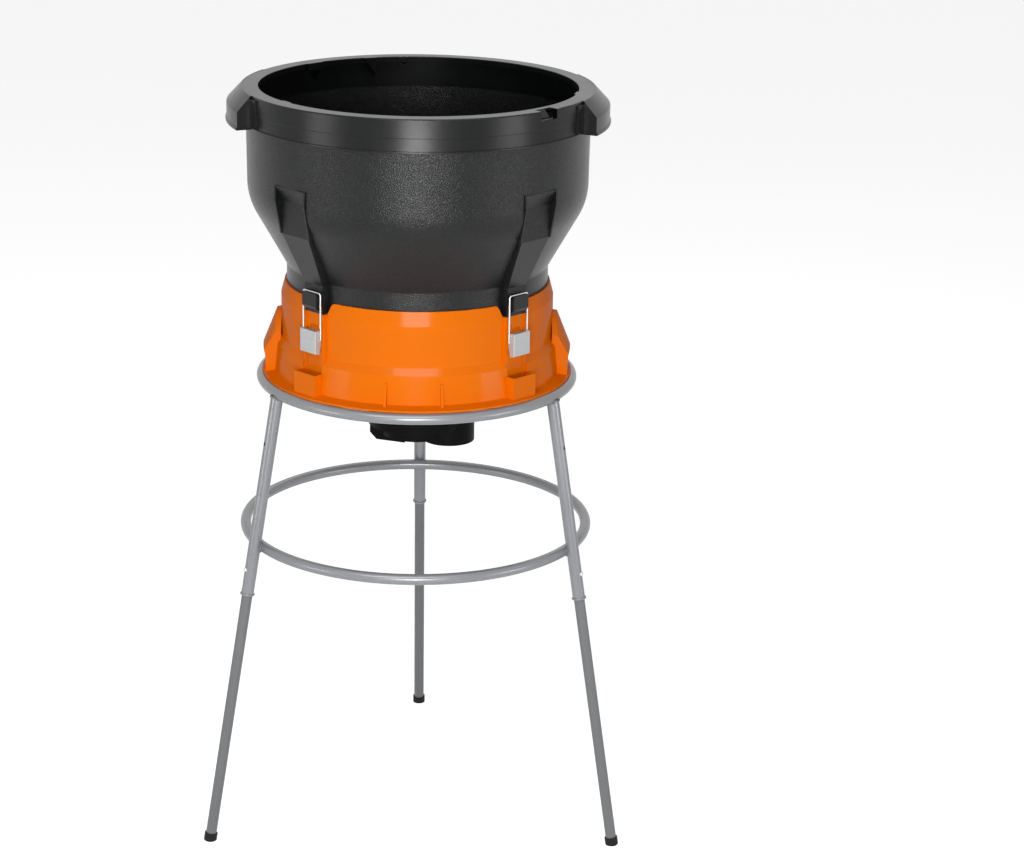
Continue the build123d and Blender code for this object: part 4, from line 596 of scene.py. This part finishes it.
@dataclass
class LeverRibs:
    """Three low ribs across the sunk panel of each latch lever.

    Attributes:
        panel_radius: Distance of the panel's floor from the machine's axis, in metres.
        relief: How far a rib stands off the panel.
        half_length: Half of a rib's length.
        half_width: Half of its width.
        middle_height: Height of the middle rib.
        pitch: Distance from rib to rib.
        count: Number of ribs on a lever.
        points_along: Points along a rib.
        points_round: Points round it.
    """

    panel_radius: float = 0.2562
    relief: float = 0.0006
    half_length: float = 0.0105
    half_width: float = 0.0011
    middle_height: float = 0.9215
    pitch: float = 0.0055
    count: int = 3
    points_along: int = 41
    points_round: int = 12

    def build(self, surfaces: Surfaces) -> None:
        """Make the ribs of the four levers.

        A rib is a tube along its length u from -1 to 1, as wide and as high as the root of
        1 - u to the eighth allows, so that its two ends are round and closed.

        Args:
            surfaces: Where the pieces are made.
        """
        u = np.linspace(-1.0, 1.0, self.points_along)[:, None]
        v = np.linspace(0.0, 2 * np.pi, self.points_round, endpoint=False)[None, :]
        swell = np.sqrt(np.maximum(1.0 - u**8, 0.0))
        radial = self.panel_radius + self.relief * swell * np.sin(v)
        across = self.half_length * u * np.ones_like(v)
        rise = self.half_width * swell * np.cos(v)
        levels = self.middle_height + self.pitch * (np.arange(self.count) - (self.count - 1) / 2)
        for corner in Corner:
            ribs = np.stack([np.stack([radial, across, level + rise], axis=-1) for level in levels])
            name = corner.name.lower()
            surfaces.add(
                f"lever_ribs_{name}", turned(ribs, corner.value), "lever_grey", f"lever_{name}",
                wrap=(False, True),
            )


@dataclass
class Studio:
    """Floor, lamps, world and the camera at the photograph's angle.

    Attributes:
        focal_px: Focal length in pixels of a picture 1024 wide.
        distance: Camera's distance from the machine's axis, in metres.
        height: Camera's height above the floor, in metres.
        pitch: Angle that the camera looks down, in radians.
        roll: Turn about the line of sight, in radians.
        yaw: Turn to the right about the upright, in radians.
        turn: How far round the machine the camera stands from its front, in degrees.
        picture_width: Width of the picture in pixels.
        floor_size: Side of the floor, in metres.
        sensor_width: Width of the camera's sensor, in millimetres.
        clip_end: How far the camera sees, in metres.
        world_light: Strength of the world as light on the machine.
        floor_tone: Grey of the floor.
        floor_lift: How brightly the floor shows besides the lamps' light on it.
    """

    focal_px: float = 2677.456
    distance: float = 4.546
    height: float = 2.180
    pitch: float = 0.31369
    roll: float = 0.01856
    yaw: float = 0.03748
    turn: float = 1.2
    picture_width: float = 1024.0
    floor_size: float = 60.0
    sensor_width: float = 36.0
    clip_end: float = 200.0
    world_light: float = 0.16
    floor_tone: float = 0.8
    floor_lift: float = 0.78

    def build(self) -> None:
        """Make the camera, the lamps, the world and the floor."""
        self._camera()
        self._lamps()
        self._world()
        self._floor()

    def _camera(self) -> None:
        """Place the camera: forward from yaw and pitch, then rolled, then turned round the axis."""
        data = bpy.data.cameras.new("camera")
        data.sensor_fit = "HORIZONTAL"
        data.sensor_width = self.sensor_width
        data.lens = self.focal_px / self.picture_width * data.sensor_width
        data.clip_end = self.clip_end
        forward = Vector((math.sin(self.yaw) * math.cos(self.pitch),
                          math.cos(self.yaw) * math.cos(self.pitch), -math.sin(self.pitch)))
        level = Vector((math.cos(self.yaw), -math.sin(self.yaw), 0.0))
        upward = level.cross(forward)
        right = math.cos(self.roll) * level + math.sin(self.roll) * upward
        top = -math.sin(self.roll) * level + math.cos(self.roll) * upward
        axes = Matrix((right, top, -forward)).transposed().to_4x4()
        place = Matrix.Translation((0.0, -self.distance, self.height)) @ axes
        camera = bpy.data.objects.new("camera", data)
        camera.matrix_world = Matrix.Rotation(math.radians(self.turn), 4, "Z") @ place
        bpy.context.scene.collection.objects.link(camera)
        bpy.context.scene.camera = camera

    @staticmethod
    def _lamp(name: str, place: Place, aim: Place, size: tuple[float, float], watts: float) -> None:
        """Make one soft rectangular lamp.

        Args:
            name: Its name.
            place: Where it stands, in metres.
            aim: The point it faces.
            size: Width and height, in metres.
            watts: Its power.
        """
        data = bpy.data.lights.new(name, "AREA")
        data.shape = "RECTANGLE"
        data.size, data.size_y = size
        data.energy = watts
        lamp = bpy.data.objects.new(name, data)
        line = Vector(aim) - Vector(place)
        lamp.location = place
        lamp.rotation_euler = line.to_track_quat("-Z", "Y").to_euler()
        lamp.visible_camera = False
        bpy.context.scene.collection.objects.link(lamp)

    def _lamps(self) -> None:
        """Lamps all round, each with its place, the point it faces, its size and its watts.

        The front and the top lamp draw the bright lines on the housing's sloping bands. The near
        front lamp draws the sheen on the hopper, and the rest are soft fills.
        """
        self._lamp("key", (-1.4, -2.6, 3.6), (0.0, 0.0, 1.1), (0.8, 0.6), 22.0)
        self._lamp("front", (0.0, -4.9, 2.12), (0.0, 0.0, 1.0), (1.9, 0.36), 46.0)
        self._lamp("top", (0.0, -2.2, 4.1), (0.0, -0.25, 0.9), (1.9, 0.4), 30.0)
        self._lamp("near_front", (0.0, -2.1, 0.95), (0.0, 0.0, 1.36), (0.5, 0.22), 15.0)
        self._lamp("left", (-3.0, -1.7, 0.75), (0.1, -0.1, 1.2), (1.0, 0.5), 12.0)
        self._lamp("right", (3.0, -1.7, 0.75), (-0.1, -0.1, 1.2), (1.0, 0.5), 14.0)
        self._lamp("back", (0.4, 3.4, 3.6), (0.0, 0.0, 1.0), (2.0, 1.4), 12.0)

    def _world(self) -> None:
        """A world that looks white and lights the machine only weakly."""
        world = bpy.data.worlds.new("studio_world")
        bpy.context.scene.world = world
        world.use_nodes = True
        tree = world.node_tree
        back = tree.nodes["Background"]
        back.inputs["Color"].default_value = (1.0, 1.0, 1.0, 1.0)
        path = tree.nodes.new("ShaderNodeLightPath")
        seen = tree.nodes.new("ShaderNodeMath")
        seen.operation = "MAXIMUM"
        clear = tree.nodes.new("ShaderNodeMath")
        clear.operation = "MAXIMUM"
        level = tree.nodes.new("ShaderNodeMapRange")
        level.inputs["To Min"].default_value = self.world_light
        level.inputs["To Max"].default_value = 1.0
        tree.links.new(path.outputs["Is Camera Ray"], seen.inputs[0])
        tree.links.new(path.outputs["Is Glossy Ray"], seen.inputs[1])
        tree.links.new(seen.outputs["Value"], clear.inputs[0])
        tree.links.new(path.outputs["Is Transmission Ray"], clear.inputs[1])
        tree.links.new(clear.outputs["Value"], level.inputs["Value"])
        tree.links.new(level.outputs["Result"], back.inputs["Strength"])

    def _floor(self) -> None:
        """A pale floor that renders near white and keeps the machine's shadow."""
        half = self.floor_size / 2
        mesh = bpy.data.meshes.new("floor")
        corners = [(-half, -half, 0.0), (half, -half, 0.0), (half, half, 0.0), (-half, half, 0.0)]
        mesh.from_pydata(corners, [], [(0, 1, 2, 3)])
        floor = bpy.data.objects.new("floor", mesh)
        bpy.context.scene.collection.objects.link(floor)
        pale = bpy.data.materials.new("pale_floor")
        pale.use_nodes = True
        tree = pale.node_tree
        shader = tree.nodes["Principled BSDF"]
        shader.inputs["Base Color"].default_value = (*[self.floor_tone] * 3, 1.0)
        shader.inputs["Roughness"].default_value = 0.9
        shader.inputs["Specular IOR Level"].default_value = 0.0
        path = tree.nodes.new("ShaderNodeLightPath")
        lift = tree.nodes.new("ShaderNodeMath")
        lift.operation = "MULTIPLY"
        lift.inputs[1].default_value = self.floor_lift
        seen = tree.nodes.new("ShaderNodeMath")
        seen.operation = "MAXIMUM"
        shader.inputs["Emission Color"].default_value = (1.0, 1.0, 1.0, 1.0)
        tree.links.new(path.outputs["Is Camera Ray"], seen.inputs[0])
        tree.links.new(path.outputs["Is Glossy Ray"], seen.inputs[1])
        tree.links.new(seen.outputs["Value"], lift.inputs[0])
        tree.links.new(lift.outputs["Value"], shader.inputs["Emission Strength"])
        mesh.materials.append(pale)


def main() -> None:
    """Dress the machine, build the added pieces and light the scene."""
    logging.basicConfig(level=logging.INFO, format="%(message)s")
    bpy.context.scene.view_settings.view_transform = "Standard"
    wardrobe = Wardrobe()
    wardrobe.dress_nodes()
    surfaces = Surfaces(wardrobe)
    Welds().build(surfaces)
    LeverRibs().build(surfaces)
    Studio().build()


if __name__ == "__main__":
    main()
